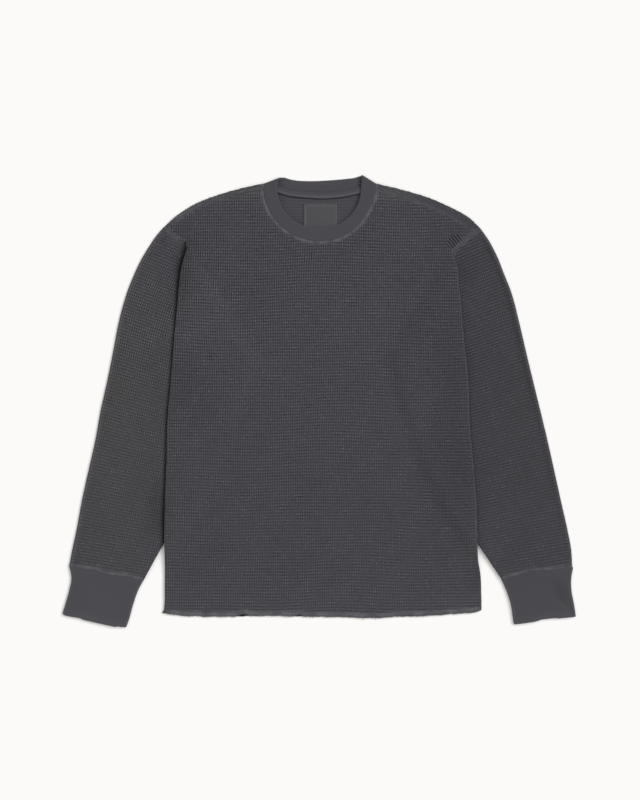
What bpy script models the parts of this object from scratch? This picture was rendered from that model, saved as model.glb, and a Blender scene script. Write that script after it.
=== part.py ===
"""Long-sleeve thermal top, laid flat on its back with both sleeves tucked under the body's sides.

Every sewn piece is its own wall of cloth: a middle surface worked out from the tables below,
given its thickness by a Solidify modifier. Tables and plan positions are in millimetres,
seen from above: +X is the wearer's left, +Y runs towards the neck, z = 0 is the surface it lies on.
The wearer's right is the side at -X.
"""
from types import SimpleNamespace

import bpy
import numpy as np
from mathutils.geometry import delaunay_2d_cdt

MM = 0.001

# Cloth
WAFFLE_WALL = 1.6          # waffle knit of body and sleeves
RIB_WALL = 2.4             # doubled rib of the neckband
CUFF_WALL = 2.2            # doubled rib of the cuffs
TRIM_WALL = 1.0            # neck tape and label
SEAM_GAP = 0.35            # between pieces that are sewn side by side
CUFF_SEAM_GAP = 0.8        # the same at a cuff, whose rim leans at the folds
LAYER_GAP = 0.35           # between cloths that lie on each other

# Heights of the laid garment
SLEEVE_HEIGHT = 5.0        # a sleeve's two layers with the air between them
CUFF_HEIGHT = 5.4
BODY_AIR = 1.8             # air between front and back panel
SIDE_AIR = 0.5             # the same along the side seams
HEM_AIR = 0.9              # the same at the hem
NECK_AIR = 3.1             # the same around the neckline
BODY_LIFT = SLEEVE_HEIGHT + LAYER_GAP
RAMP = 30.0                # width of the slope where the body comes down beside a hidden sleeve
SIDE_ROLL = 16.0           # width over which the front panel rolls down to a side seam
HEM_ROLL = 18.0
NECK_RISE = 60.0           # width over which the cloth rises to the neckband

# Neckband: rings seen from above
NECK_SEAM_CENTRE = (0.8, 356.0)
NECK_SEAM_RADIUS = 94.0
NECK_EDGE_CENTRE = (0.0, 353.0)
NECK_EDGE = (              # free edge of the front half: angle, radius
    (166.0, 65.4), (180.0, 69.3), (200.0, 70.0), (270.0, 69.5), (340.0, 70.0), (360.0, 71.0), (375.0, 73.3))
BACK_NECK_SEAM = (         # x, y
    (-92.6, 353.2), (-68.6, 347.4), (-51.0, 342.4), (-32.0, 339.8), (4.0, 337.5),
    (36.0, 339.8), (65.5, 345.2), (94.2, 353.2))
BACK_NECK_EDGE = (         # x, y
    (-63.5, 365.2), (-55.0, 365.8), (-47.0, 364.4), (-38.6, 363.1), (-19.6, 362.0),
    (12.0, 363.0), (43.5, 365.6), (59.4, 367.9), (70.8, 369.2))
TAPE_EDGE = (              # lower edge of the neck tape: x, y
    (-72.0, 344.2), (-51.2, 337.6), (-32.3, 335.2), (-11.8, 333.7), (4.0, 333.0),
    (19.8, 333.7), (35.6, 335.2), (53.0, 338.4), (70.0, 342.0))
TAPE_WIDTH = 9.5
LABEL = SimpleNamespace(x=(-26.0, 29.0), y=(275.0, 325.0))

# Body, seen from above
HEM = (                    # x, y
    (-258.9, -350.0), (-247.0, -353.4), (-222.0, -356.2), (-150.0, -357.4), (-90.0, -356.4), (-20.0, -357.6),
    (50.0, -358.8), (92.0, -359.8), (125.0, -357.8), (165.0, -357.0), (205.0, -354.4), (240.0, -351.8),
    (255.0, -351.0), (268.0, -347.0))

RIGHT = SimpleNamespace(   # the wearer's right, at -X
    name="right",
    sign=-1.0,
    side_edge=(            # x, y from armhole to hem
        (-220.0, 261.0), (-218.2, 255.5), (-221.0, 243.0), (-226.5, 223.0), (-231.0, 203.0),
        (-233.5, 182.0), (-239.7, 99.0), (-244.7, 33.0), (-250.5, -33.0), (-252.0, -99.0),
        (-254.6, -165.0), (-257.0, -264.0), (-256.0, -313.0), (-258.9, -350.0)),
    armhole=((-253.5, 289.0), (-246.0, 276.0), (-236.0, 267.0), (-220.0, 261.0)),
    shoulder_fold=(        # x, y from neck to armhole
        (-93.4, 357.2), (-116.0, 353.0), (-154.0, 343.5), (-184.0, 333.6),
        (-207.0, 323.7), (-223.0, 314.0), (-238.0, 303.5), (-253.5, 289.0)),
    shoulder_seam=(
        (-93.3, 347.0), (-116.0, 343.5), (-154.0, 334.5), (-184.0, 324.5),
        (-206.0, 314.5), (-221.0, 305.5), (-235.0, 296.0), (-250.75, 284.2)),
    upper_notch=((-222.5, 252.0), (-229.5, 229.0)),
    lower_notch=((-222.2, 252.0), (-222.6, 243.0)),
    underarm=(-124.0, 63.0),
    sleeve_outer=(         # x, y from armhole to cuff
        (-253.5, 289.0), (-268.0, 273.0), (-281.0, 254.0), (-292.5, 235.0), (-306.0, 207.0),
        (-316.0, 182.0), (-330.5, 132.0), (-340.0, 83.0), (-350.0, 33.0), (-361.0, -16.0),
        (-370.0, -66.0), (-381.0, -115.0), (-392.0, -165.0), (-401.0, -214.0), (-408.3, -248.0), (-413.0, -273.0)),
    sleeve_inner=((-124.0, 63.0), (-154.0, -24.0), (-189.0, -110.0), (-230.0, -193.0),
                  (-258.0, -239.0), (-290.0, -297.0)),
    cuff_outer=((-413.0, -273.0), (-409.4, -292.0), (-413.0, -313.0), (-419.8, -338.0), (-424.5, -353.0)),
    cuff_inner=((-290.0, -297.0), (-298.6, -313.0), (-307.4, -338.0), (-314.0, -362.0), (-318.8, -375.5)),
    neck_point=(-92.6, 356.4),
    neck_peak=(-63.5, 368.5),
)
LEFT = SimpleNamespace(    # the wearer's left, at +X
    name="left",
    sign=1.0,
    side_edge=(
        (219.5, 242.5), (222.9, 234.8), (228.2, 216.8), (229.8, 195.0), (232.4, 172.0),
        (238.8, 99.0), (245.4, 33.0), (247.8, -33.0), (253.6, -99.0), (258.6, -165.0),
        (261.0, -240.0), (262.2, -264.0), (266.2, -288.0), (267.5, -320.0), (268.0, -347.0)),
    armhole=((266.0, 284.0), (256.6, 276.9), (246.2, 269.4), (233.5, 256.9), (219.5, 242.5)),
    shoulder_fold=(
        (95.4, 357.0), (115.0, 353.0), (153.0, 343.5), (184.0, 333.6),
        (207.0, 323.7), (227.0, 314.0), (248.0, 301.5), (266.0, 284.0)),
    shoulder_seam=(
        (95.2, 344.5), (114.0, 340.0), (151.0, 330.5), (180.0, 320.0),
        (202.0, 310.0), (220.0, 301.5), (240.0, 290.0), (261.2, 280.4)),
    upper_notch=((224.6, 234.8), (231.2, 212.0)),
    lower_notch=((224.6, 234.8), (228.4, 223.0)),
    underarm=(138.0, 79.5),
    sleeve_outer=(
        (266.0, 284.0), (280.0, 264.0), (295.0, 235.0), (306.0, 207.0), (316.0, 182.0),
        (329.5, 132.0), (341.0, 83.0), (353.0, 33.0), (365.0, -16.0), (377.0, -66.0),
        (388.0, -115.0), (399.0, -165.0), (410.0, -214.0), (416.5, -250.0), (418.0, -281.0)),
    sleeve_inner=((138.0, 79.5), (156.0, -8.0), (186.0, -99.0), (227.0, -181.0),
                  (263.0, -239.0), (297.0, -295.0)),
    cuff_outer=((418.0, -281.0), (415.3, -296.0), (415.3, -313.0), (420.3, -338.0), (422.7, -358.0)),
    cuff_inner=((297.0, -295.0), (305.7, -313.0), (315.2, -338.0), (319.6, -358.0), (322.0, -369.0)),
    neck_point=(94.2, 356.4),
    neck_peak=(70.0, 372.6),
)
SIDES = (RIGHT, LEFT)

# Mesh density
PANEL_GRID = 34.0
OUTLINE_STEP = 26.0
RAMP_ROWS = (2.0, 8.5, 15.5, 22.5, 29.5)
RAMP_END_STEPS = (0.04, 0.08, 0.12, 0.2, 0.32, 0.45, 0.6, 0.75, 0.9)
RAMP_CORNER_DEGREES = (6.0, 63.0)   # headings of two more rows round the underarm point
RAMP_STEP = 22.0
SLEEVE_STATIONS = np.array([0.0, 0.02, 0.05, 0.09, 0.14, 0.2, 0.27, 0.34, 0.41, 0.48, 0.55,
                            0.62, 0.69, 0.76, 0.83, 0.89, 0.95, 1.0])
END_FADE = 0.2             # share of a sleeve's length over which its end's shape fades out
SLEEVE_ACROSS = (0.4, 0.55, 0.7, 0.85)
CUFF_ACROSS = (0.17, 0.33, 0.5, 0.67, 0.83)
NECK_FRONT_SHARES = np.linspace(0.035, 0.965, 25)
NECK_BACK_SHARES = np.linspace(0.0, 1.0, 16)
FOLD_STEPS = 4             # steps round half a fold

WAFFLE_COLOUR = (0.060, 0.060, 0.068, 1.0)
RIB_COLOUR = (0.068, 0.068, 0.075, 1.0)
LABEL_COLOUR = (0.085, 0.085, 0.094, 1.0)


# ---------------------------------------------------------------- curves and fields

def curve(points, step=None, count=None):
    """Evenly spaced points on the smooth line (cubic Hermite on chord length) through the points."""
    knots = np.asarray(points, float)
    chord = np.concatenate(([0.0], np.cumsum(np.linalg.norm(np.diff(knots, axis=0), axis=1))))
    slopes = np.gradient(knots, chord, axis=0)
    where = np.linspace(0.0, chord[-1], 24 * len(knots))
    k = np.clip(np.searchsorted(chord, where, side="right") - 1, 0, len(knots) - 2)
    span = (chord[k + 1] - chord[k])[:, None]
    t = (where - chord[k])[:, None] / span
    line = ((2 * t**3 - 3 * t**2 + 1) * knots[k] + (t**3 - 2 * t**2 + t) * span * slopes[k]
            + (3 * t**2 - 2 * t**3) * knots[k + 1] + (t**3 - t**2) * span * slopes[k + 1])
    arc = np.concatenate(([0.0], np.cumsum(np.linalg.norm(np.diff(line, axis=0), axis=1))))
    if count is None:
        count = max(2, round(arc[-1] / step) + 1)
    wanted = np.linspace(0.0, arc[-1], count)
    return np.column_stack([np.interp(wanted, arc, line[:, i]) for i in range(2)])


def at_shares(points, shares):
    """Points of the smooth line through the given points, at shares of its length."""
    line = curve(points, count=400)
    where = np.linspace(0.0, 1.0, 400)
    return np.column_stack([np.interp(shares, where, line[:, i]) for i in range(2)])


def smooth(value, start, end):
    """0 up to start, 1 from end on, and a smoothstep between them."""
    t = np.clip((value - start) / (end - start), 0.0, 1.0)
    return t * t * (3.0 - 2.0 * t)


def distance(points, line):
    """Each point's distance to a polyline."""
    start, end = line[:-1], line[1:]
    run = end - start
    share = ((points[:, None] - start) * run).sum(2) / (run * run).sum(1)
    nearest = start + np.clip(share, 0.0, 1.0)[:, :, None] * run
    return np.linalg.norm(points[:, None] - nearest, axis=2).min(1)


def inside(points, polygon):
    """True for each point in the polygon, by counting the edges that a ray to +X crosses."""
    x, y = points[:, 0, None], points[:, 1, None]
    start = polygon
    end = np.roll(polygon, -1, axis=0)
    spans = (start[:, 1] > y) != (end[:, 1] > y)
    rise = np.where(end[:, 1] == start[:, 1], 1.0, end[:, 1] - start[:, 1])
    crossing = start[:, 0] + (y - start[:, 1]) * (end[:, 0] - start[:, 0]) / rise
    return (spans & (x < crossing)).sum(1) % 2 == 1


def under_body(side):
    """Outline of the stretch of sleeve that the body is lifted over, from the notch down."""
    inner = curve(side.sleeve_inner, step=12.0)
    outer = curve(side.sleeve_outer, step=12.0)
    outer = outer[outer[:, 1] < side.upper_notch[-1][1]]
    return np.vstack([[side.upper_notch[-1]], inner, outer[::-1]])


def body_lift(points):
    """How far the back panel is lifted: full over a sleeve, eased down beside it."""
    lift = np.zeros(len(points))
    for side in SIDES:
        region = under_body(side)
        away = np.where(inside(points, region), 0.0, distance(points, np.vstack([region, region[:1]])))
        lift = np.maximum(lift, BODY_LIFT * (1.0 - smooth(away, RAMP_ROWS[0], RAMP)))
    return lift


def body_air(points):
    """Air between the panels: least along side seams and hem, most around the neckline."""
    air = np.full(len(points), BODY_AIR)
    for side in SIDES:
        edge = curve(side.side_edge, step=10.0)
        top = side.side_edge[0][1]
        below_armhole = 1.0 - smooth(points[:, 1], top - RAMP, top - 2.0)
        near = (1.0 - smooth(distance(points, edge), 0.0, SIDE_ROLL)) * below_armhole
        air -= (BODY_AIR - SIDE_AIR) * near
    near_hem = 1.0 - smooth(distance(points, curve(HEM, step=10.0)), 0.0, HEM_ROLL)
    air = np.minimum(air, BODY_AIR - (BODY_AIR - HEM_AIR) * near_hem)
    from_neck = np.linalg.norm(points - NECK_SEAM_CENTRE, axis=1) - NECK_SEAM_RADIUS
    return air + (NECK_AIR - BODY_AIR) * (1.0 - smooth(from_neck, 1.0, NECK_RISE))


def back_middle(points):
    return body_lift(points) + WAFFLE_WALL / 2


def front_middle(points):
    return back_middle(points) + WAFFLE_WALL + body_air(points)


# ---------------------------------------------------------------- meshes

def cloth_material(name, colour, roughness):
    material = bpy.data.materials.new(name)
    material.use_nodes = True
    shader = material.node_tree.nodes["Principled BSDF"]
    shader.inputs["Base Color"].default_value = colour
    shader.inputs["Roughness"].default_value = roughness
    shader.inputs["Metallic"].default_value = 0.0
    material.diffuse_color = colour
    return material


def cloth(name, points, faces, wall, material, parent):
    """An object whose wall lies half to each side of the middle surface given in millimetres."""
    mesh = bpy.data.meshes.new(name)
    mesh.from_pydata((np.asarray(points) * MM).tolist(), [], [list(face) for face in faces])
    mesh.validate()
    mesh.shade_smooth()
    mesh.set_sharp_from_angle(angle=np.radians(50.0))
    piece = bpy.data.objects.new(name, mesh)
    bpy.context.scene.collection.objects.link(piece)
    piece.parent = parent
    piece.data.materials.append(material)
    solidify = piece.modifiers.new("Wall", "SOLIDIFY")
    solidify.thickness = wall * MM
    solidify.offset = 0.0
    solidify.use_even_offset = True
    solidify.use_quality_normals = True
    return piece


def grid_faces(rows, columns, closed_rows=False, closed_columns=False):
    """Quads of a grid whose point (r, c) is number r * columns + c."""
    faces = []
    for r in range(rows if closed_rows else rows - 1):
        for c in range(columns if closed_columns else columns - 1):
            r2, c2 = (r + 1) % rows, (c + 1) % columns
            faces.append((r * columns + c, r * columns + c2, r2 * columns + c2, r2 * columns + c))
    return faces


def ramp_points():
    """Rows of points that follow each hidden sleeve, on the slope beside it."""
    rows = []
    for side in SIDES:
        end = np.array([side.upper_notch[-1], side.underarm])
        steps = np.array(RAMP_END_STEPS)[:, None]
        line = np.vstack([end[0] + steps * (end[1] - end[0]), curve(side.sleeve_inner, step=RAMP_STEP)])
        run = np.gradient(line, axis=0)
        normal = np.column_stack([run[:, 1], -run[:, 0]])
        normal /= np.linalg.norm(normal, axis=1)[:, None]
        normal *= -side.sign * np.sign(normal[:, :1] + 1e-9)
        rows += [line + away * normal for away in RAMP_ROWS]
        for turn in np.radians(RAMP_CORNER_DEGREES):
            heading = np.array([-side.sign * np.cos(turn), np.sin(turn)])
            rows.append(side.underarm + np.outer(RAMP_ROWS, heading))
    return np.vstack(rows)


def fill(outline, margin=4.0):
    """Triangles that fill an outline, over an even grid, closer together on the slopes."""
    low, high = outline.min(0), outline.max(0)
    x, y = np.meshgrid(np.arange(low[0], high[0], PANEL_GRID), np.arange(low[1], high[1], PANEL_GRID))
    x = x + PANEL_GRID / 2 * (np.arange(len(x)) % 2)[:, None]
    even = np.column_stack([x.ravel(), y.ravel()])
    slopes = ramp_points()
    crowd = np.linalg.norm(even[:, None] - slopes, axis=2).min(1)
    inner = np.vstack([slopes, even[crowd > PANEL_GRID / 2]])
    loop = np.vstack([outline, outline[:1]])
    inner = inner[inside(inner, outline) & (distance(inner, loop) > margin)]
    points = np.vstack([outline, inner])
    count = len(outline)
    edges = [(i, (i + 1) % count) for i in range(count)]
    flat, _, faces, *_ = delaunay_2d_cdt([tuple(p) for p in points], edges, [], 1, 1e-6)
    if len(flat) != len(points):
        raise RuntimeError("the outline's points were merged or crossed")
    return points, [tuple(face) for face in faces]


def thin(line, keep):
    """The points of a line that keep says, with both ends."""
    return line[np.unique(np.concatenate(([0], np.flatnonzero(keep), [len(line) - 1])))]


def side_points(side):
    """Side seam from armhole to hem, with close points where the body climbs onto the sleeve."""
    line = curve(side.side_edge, step=6.5)
    order = np.arange(len(line))
    climbs = body_lift(line)
    on_slope = (climbs > 0.02) & (climbs < BODY_LIFT - 0.02)
    beside = np.convolve(on_slope, (1, 1, 1), mode="same") > 0
    return thin(line, beside | (order % 4 == 0))


# ---------------------------------------------------------------- pieces

def shoulder(side):
    """Plan of one shoulder: fold line, forward seam and the turning line of the fold."""
    count = 12
    fold = curve(side.shoulder_fold, count=count)
    seam = curve(side.shoulder_seam, count=count)
    heading = seam - fold
    heading /= np.linalg.norm(heading, axis=1)[:, None]
    top = front_middle(seam)
    radius = (top - WAFFLE_WALL / 2) / 2
    turn = fold + heading * (radius + WAFFLE_WALL / 2)[:, None]
    return SimpleNamespace(fold=fold, seam=seam, heading=heading, top=top, radius=radius, turn=turn)


def neck_ring(radius, degrees):
    """Points of a ring round the neck, at angles from the +X axis."""
    angle = np.radians(degrees)
    return NECK_SEAM_CENTRE + radius * np.column_stack([np.cos(angle), np.sin(angle)])


def neck_angle(point):
    """A point's angle round the neck, from 0 to 360 degrees."""
    return np.degrees(np.arctan2(point[1] - NECK_SEAM_CENTRE[1], point[0] - NECK_SEAM_CENTRE[0])) % 360.0


def front_panel(material, parent):
    """Front: hem, sides, armholes, the forward shoulder seams and the front neckline."""
    right, left = shoulder(RIGHT), shoulder(LEFT)
    right_seam = right.seam + right.heading * SEAM_GAP
    left_seam = left.seam + left.heading * SEAM_GAP
    angles = 180.0 * (1.0 + NECK_FRONT_SHARES)[::-1]
    between = (angles < neck_angle(left_seam[0])) & (angles > neck_angle(right_seam[0]))
    neckline = neck_ring(NECK_SEAM_RADIUS + SEAM_GAP, angles[between])
    outline = np.vstack([
        curve(HEM, step=OUTLINE_STEP)[1:-1],
        side_points(LEFT)[::-1],
        np.array(LEFT.armhole[1:-1])[::-1],
        left_seam[::-1],
        neckline,
        right_seam,
        np.array(RIGHT.armhole[1:-1]),
        side_points(RIGHT)])
    points, faces = fill(outline)
    solid = np.column_stack([points, front_middle(points)])
    return cloth("front_panel", solid, faces, WAFFLE_WALL, material, parent)


def back_panel(material, parent):
    """Back: lies below the front and folds over each shoulder to the forward seam."""
    wraps = [shoulder(side) for side in SIDES]
    neckline = at_shares(BACK_NECK_SEAM, NECK_BACK_SHARES) - (0.0, SEAM_GAP * 1.3)
    outline = np.vstack([
        curve(HEM, step=OUTLINE_STEP)[1:-1],
        side_points(LEFT)[::-1],
        np.array(LEFT.armhole[1:-1])[::-1],
        wraps[1].turn[::-1],
        neckline[::-1],
        wraps[0].turn,
        np.array(RIGHT.armhole[1:-1]),
        side_points(RIGHT)])
    flat, faces = fill(outline)
    points = np.column_stack([flat, back_middle(flat)])
    for wrap in wraps:
        first = np.linalg.norm(flat[:, None] - wrap.turn, axis=2).argmin(0)
        angles = np.radians(np.linspace(-90.0, 90.0, 2 * FOLD_STEPS - 1))[1:]
        rows = []
        for angle in angles:
            spot = wrap.turn - wrap.heading * (wrap.radius * np.cos(angle))[:, None]
            rise = WAFFLE_WALL / 2 + wrap.radius * (1.0 + np.sin(angle))
            rows.append(np.column_stack([spot, rise]))
        rows.append(np.column_stack([wrap.seam, wrap.top]))
        count = len(wrap.turn)
        start = len(points)
        points = np.vstack([points] + rows)
        numbers = np.vstack([first, start + np.arange(count * len(rows)).reshape(len(rows), count)])
        flip = wrap is wraps[0]
        for r in range(len(numbers) - 1):
            for c in range(count - 1):
                quad = (numbers[r, c], numbers[r, c + 1], numbers[r + 1, c + 1], numbers[r + 1, c])
                faces.append(tuple(int(i) for i in (quad[::-1] if flip else quad)))
    return cloth("back_panel", points, faces, WAFFLE_WALL, material, parent)


def flat_section(shares, widths, height, wall):
    """Closed sections of a flattened tube, one for each width: distance across, z and layer.

    The shares place points on the upper and on the lower layer, between half circles at both folds.
    """
    radius = (height - wall) / 2
    inset = radius + wall / 2
    turns = np.radians(np.linspace(90.0, -90.0, FOLD_STEPS + 1))[1:-1]
    across, rise, upper = [], [], []
    for share in shares:
        across.append(inset + share * (widths - 2 * inset))
        rise.append(height / 2 + radius)
        upper.append(True)
    for turn in turns:
        across.append(widths - inset + radius * np.cos(turn))
        rise.append(height / 2 + radius * np.sin(turn))
        upper.append(turn > 0.0)
    for share in shares[::-1]:
        across.append(inset + share * (widths - 2 * inset))
        rise.append(height / 2 - radius)
        upper.append(False)
    for turn in turns[::-1]:
        across.append(np.full_like(widths, inset - radius * np.cos(turn)))
        rise.append(height / 2 + radius * np.sin(turn))
        upper.append(turn > 0.0)
    return np.array(across).T, np.array(rise), np.array(upper)


def flat_tube(name, outer, inner, shares, height, wall, material, parent, end_shapes=None, fade=None):
    """A flattened tube between an outer and an inner edge line; its first end may be shaped."""
    reach = inner - outer
    widths = np.linalg.norm(reach, axis=1)
    across, rise, upper = flat_section(shares, widths, height, wall)
    share = across / widths[:, None]
    plan = outer[:, None] + share[:, :, None] * reach[:, None]
    if end_shapes:
        direction = reach[0] / widths[0]
        normal = np.array([-direction[1], direction[0]])
        for is_upper, shape in ((True, end_shapes[0]), (False, end_shapes[1])):
            offset = shape - outer[0]
            bow = np.interp(share[0], offset @ direction / widths[0], offset @ normal)
            pick = upper == is_upper
            plan[:, pick] += (fade[:, None] * bow[None, pick])[:, :, None] * normal
    count = len(rise)
    points = np.column_stack([plan.reshape(-1, 2), np.tile(rise, len(outer))])
    faces = grid_faces(len(outer), count, closed_columns=True)
    return cloth(name, points, faces, wall, material, parent)


def sleeve(side, material, parent):
    """Sleeve: its end follows the armhole seam, then runs under the body to the underarm point."""
    outer = at_shares(side.sleeve_outer, SLEEVE_STATIONS)
    inner = at_shares(side.sleeve_inner, SLEEVE_STATIONS)
    along = inner[0] - outer[0]
    away = np.array([along[1], -along[0]]) / np.linalg.norm(along) * -side.sign * SEAM_GAP * 1.5
    outer[0] += away
    inner[0] += away
    ends = [np.vstack([side.armhole, notch, [side.underarm]]) + away
            for notch in (side.upper_notch, side.lower_notch)]
    direction = along / np.linalg.norm(along)
    width, inset = np.linalg.norm(along), SLEEVE_HEIGHT / 2
    places = ((ends[0] - outer[0]) @ direction - inset) / (width - 2 * inset)
    shares = np.clip(np.concatenate([places[:-1], SLEEVE_ACROSS, [1.0]]), 0.0, 1.0)
    cuff_gap = (inner[-1] - inner[-2]) / np.linalg.norm(inner[-1] - inner[-2]) * CUFF_SEAM_GAP
    outer[-1] -= cuff_gap
    inner[-1] -= cuff_gap
    fade = np.clip(1.0 - SLEEVE_STATIONS / END_FADE, 0.0, 1.0) ** 2
    return flat_tube(f"sleeve_{side.name}", outer, inner, shares, SLEEVE_HEIGHT, WAFFLE_WALL,
                     material, parent, ends, fade)


def cuff(side, material, parent):
    """Ribbed cuff: a shorter flattened tube below the sleeve's seam."""
    stations = np.linspace(0.0, 1.0, 6)
    outer = at_shares(side.cuff_outer, stations)
    inner = at_shares(side.cuff_inner, stations)
    shares = np.concatenate([[0.0], CUFF_ACROSS, [1.0]])
    return flat_tube(f"cuff_{side.name}", outer, inner, shares, CUFF_HEIGHT, CUFF_WALL, material, parent)


def neckband(material, parent):
    """Ribbed band: front half on the front panel's level, back half on the floor, folded at both peaks."""
    front_z = WAFFLE_WALL * 1.5 + NECK_AIR
    back_z = RIB_WALL / 2
    radius = (front_z - back_z) / 2
    rows = 4
    across = np.linspace(0.0, 1.0, rows)[:, None]

    def strip(seam, edge, z):
        return [np.column_stack([a + across * (b - a), np.full(rows, z)]) for a, b in zip(seam, edge)]

    seam = neck_ring(NECK_SEAM_RADIUS, 180.0 * (1.0 + NECK_FRONT_SHARES))
    table = np.array(NECK_EDGE)
    angle = table[0, 0] + NECK_FRONT_SHARES * (table[-1, 0] - table[0, 0])
    reach = np.interp(angle, table[:, 0], table[:, 1])
    turn = np.radians(angle)
    edge = NECK_EDGE_CENTRE + reach[:, None] * np.column_stack([np.cos(turn), np.sin(turn)])
    stations = strip(seam, edge, front_z)
    folds = {}
    for side in SIDES:
        line = np.array(side.neck_point) + across * (np.array(side.neck_peak) - side.neck_point)
        heading = np.column_stack([-side.sign * 0.25 * across, -np.ones((rows, 1))])
        heading /= np.linalg.norm(heading, axis=1)[:, None]
        centre = line + heading * (radius + RIB_WALL / 2)
        folds[side.name] = [
            np.column_stack([centre - heading * radius * np.cos(a), np.full(rows, back_z + radius * (1 + np.sin(a)))])
            for a in np.radians(np.linspace(90.0, -90.0, 2 * FOLD_STEPS - 1))]
    back_seam = at_shares(BACK_NECK_SEAM, NECK_BACK_SHARES[1:-1])
    back_edge = at_shares(BACK_NECK_EDGE, NECK_BACK_SHARES[1:-1])
    stations += folds["left"]
    stations += strip(back_seam[::-1], back_edge[::-1], back_z)
    stations += folds["right"][::-1]
    points = np.vstack(stations)
    faces = grid_faces(len(stations), rows, closed_rows=True)
    return cloth("neckband", points, faces, RIB_WALL, material, parent)


def neck_tape(material, parent):
    """Tape over the back neck seam, on the band's lower edge."""
    lower = curve(TAPE_EDGE, count=15)
    middle_z = RIB_WALL + LAYER_GAP + TRIM_WALL / 2
    upper = lower + (0.0, TAPE_WIDTH)
    points = np.column_stack([np.vstack([lower, (lower + upper) / 2, upper]), np.full(45, middle_z)])
    return cloth("neck_tape", points, grid_faces(3, 15), TRIM_WALL, material, parent)


def neck_label(material, parent):
    """Woven label on the inside of the back panel, below the tape."""
    columns, rows = 7, 6
    x, y = np.meshgrid(np.linspace(*LABEL.x, columns), np.linspace(*LABEL.y, rows))
    middle_z = WAFFLE_WALL + LAYER_GAP + TRIM_WALL / 2
    points = np.column_stack([x.ravel(), y.ravel(), np.full(x.size, middle_z)])
    return cloth("neck_label", points, grid_faces(rows, columns), TRIM_WALL, material, parent)


def centre(parent, pieces):
    """Move the parent so that the garment's box stands centred over the origin."""
    plan = np.array([vertex.co[:2] for piece in pieces for vertex in piece.data.vertices])
    middle = (plan.min(0) + plan.max(0)) / 2
    parent.location = (-middle[0], -middle[1], 0.0)


def main():
    for item in list(bpy.data.objects):
        bpy.data.objects.remove(item)
    parent = bpy.data.objects.new("thermal_top", None)
    bpy.context.scene.collection.objects.link(parent)
    waffle = cloth_material("waffle knit", WAFFLE_COLOUR, 0.92)
    rib = cloth_material("rib knit", RIB_COLOUR, 0.9)
    trim = cloth_material("woven label", LABEL_COLOUR, 0.7)
    pieces = [front_panel(waffle, parent), back_panel(waffle, parent)]
    for side in SIDES:
        pieces.append(sleeve(side, waffle, parent))
        pieces.append(cuff(side, rib, parent))
    pieces.append(neckband(rib, parent))
    pieces.append(neck_tape(rib, parent))
    pieces.append(neck_label(trim, parent))
    centre(parent, pieces)


main()
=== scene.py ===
"""Long-sleeve thermal top laid flat: waffle-knit panels, ribbed cuffs and neckband, seams and raw hem.

Plan positions are in millimetres in the cut's own table coordinates, seen from above:
+X is the wearer's left, +Y runs towards the neck and z = 0 is the surface the top lies on.
The wearer's right is the side at -X. SHIFT takes the tables to the frame.
"""

from types import SimpleNamespace

import bpy
import numpy as np
from bpy.props import FloatProperty, FloatVectorProperty, IntProperty, PointerProperty
from mathutils.geometry import delaunay_2d_cdt
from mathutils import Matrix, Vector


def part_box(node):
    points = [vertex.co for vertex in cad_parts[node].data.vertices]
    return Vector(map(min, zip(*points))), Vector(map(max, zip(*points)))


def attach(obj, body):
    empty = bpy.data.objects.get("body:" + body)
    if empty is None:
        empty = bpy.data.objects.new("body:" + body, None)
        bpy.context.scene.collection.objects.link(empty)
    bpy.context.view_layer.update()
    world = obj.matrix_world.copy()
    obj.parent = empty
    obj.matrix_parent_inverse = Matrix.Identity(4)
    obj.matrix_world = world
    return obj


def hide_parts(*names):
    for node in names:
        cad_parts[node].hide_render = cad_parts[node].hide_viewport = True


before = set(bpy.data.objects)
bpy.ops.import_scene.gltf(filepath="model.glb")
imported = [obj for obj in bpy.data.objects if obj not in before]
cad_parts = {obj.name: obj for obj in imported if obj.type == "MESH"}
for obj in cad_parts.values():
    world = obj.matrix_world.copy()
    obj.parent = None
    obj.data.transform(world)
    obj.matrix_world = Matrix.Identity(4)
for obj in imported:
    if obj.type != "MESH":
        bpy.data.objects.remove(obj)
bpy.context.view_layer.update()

bl_info = {
    "name": "Thermal Top",
    "version": (1, 0, 0),
    "blender": (4, 5, 0),
    "location": "3D View > Sidebar > Thermal Top",
    "description": "Builds a waffle-knit thermal top, laid flat, around its packed model",
    "category": "Add Mesh",
}

MM = 0.001

# ---- sizes, in millimetres

WAFFLE_WALL = 1.6
RIB_WALL = 2.4
CUFF_WALL = 2.2
TRIM_WALL = 1.0
LAYER_GAP = 0.35
SLEEVE_HEIGHT = 5.0
CUFF_HEIGHT = 5.4
BODY_AIR = 1.8
SIDE_AIR = 0.5
HEM_AIR = 0.9
NECK_AIR = 3.1
BODY_LIFT = SLEEVE_HEIGHT + LAYER_GAP
RAMP_START = 2.0
RAMP = 30.0
SIDE_ROLL = 16.0
HEM_ROLL = 18.0
NECK_RISE = 60.0

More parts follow.
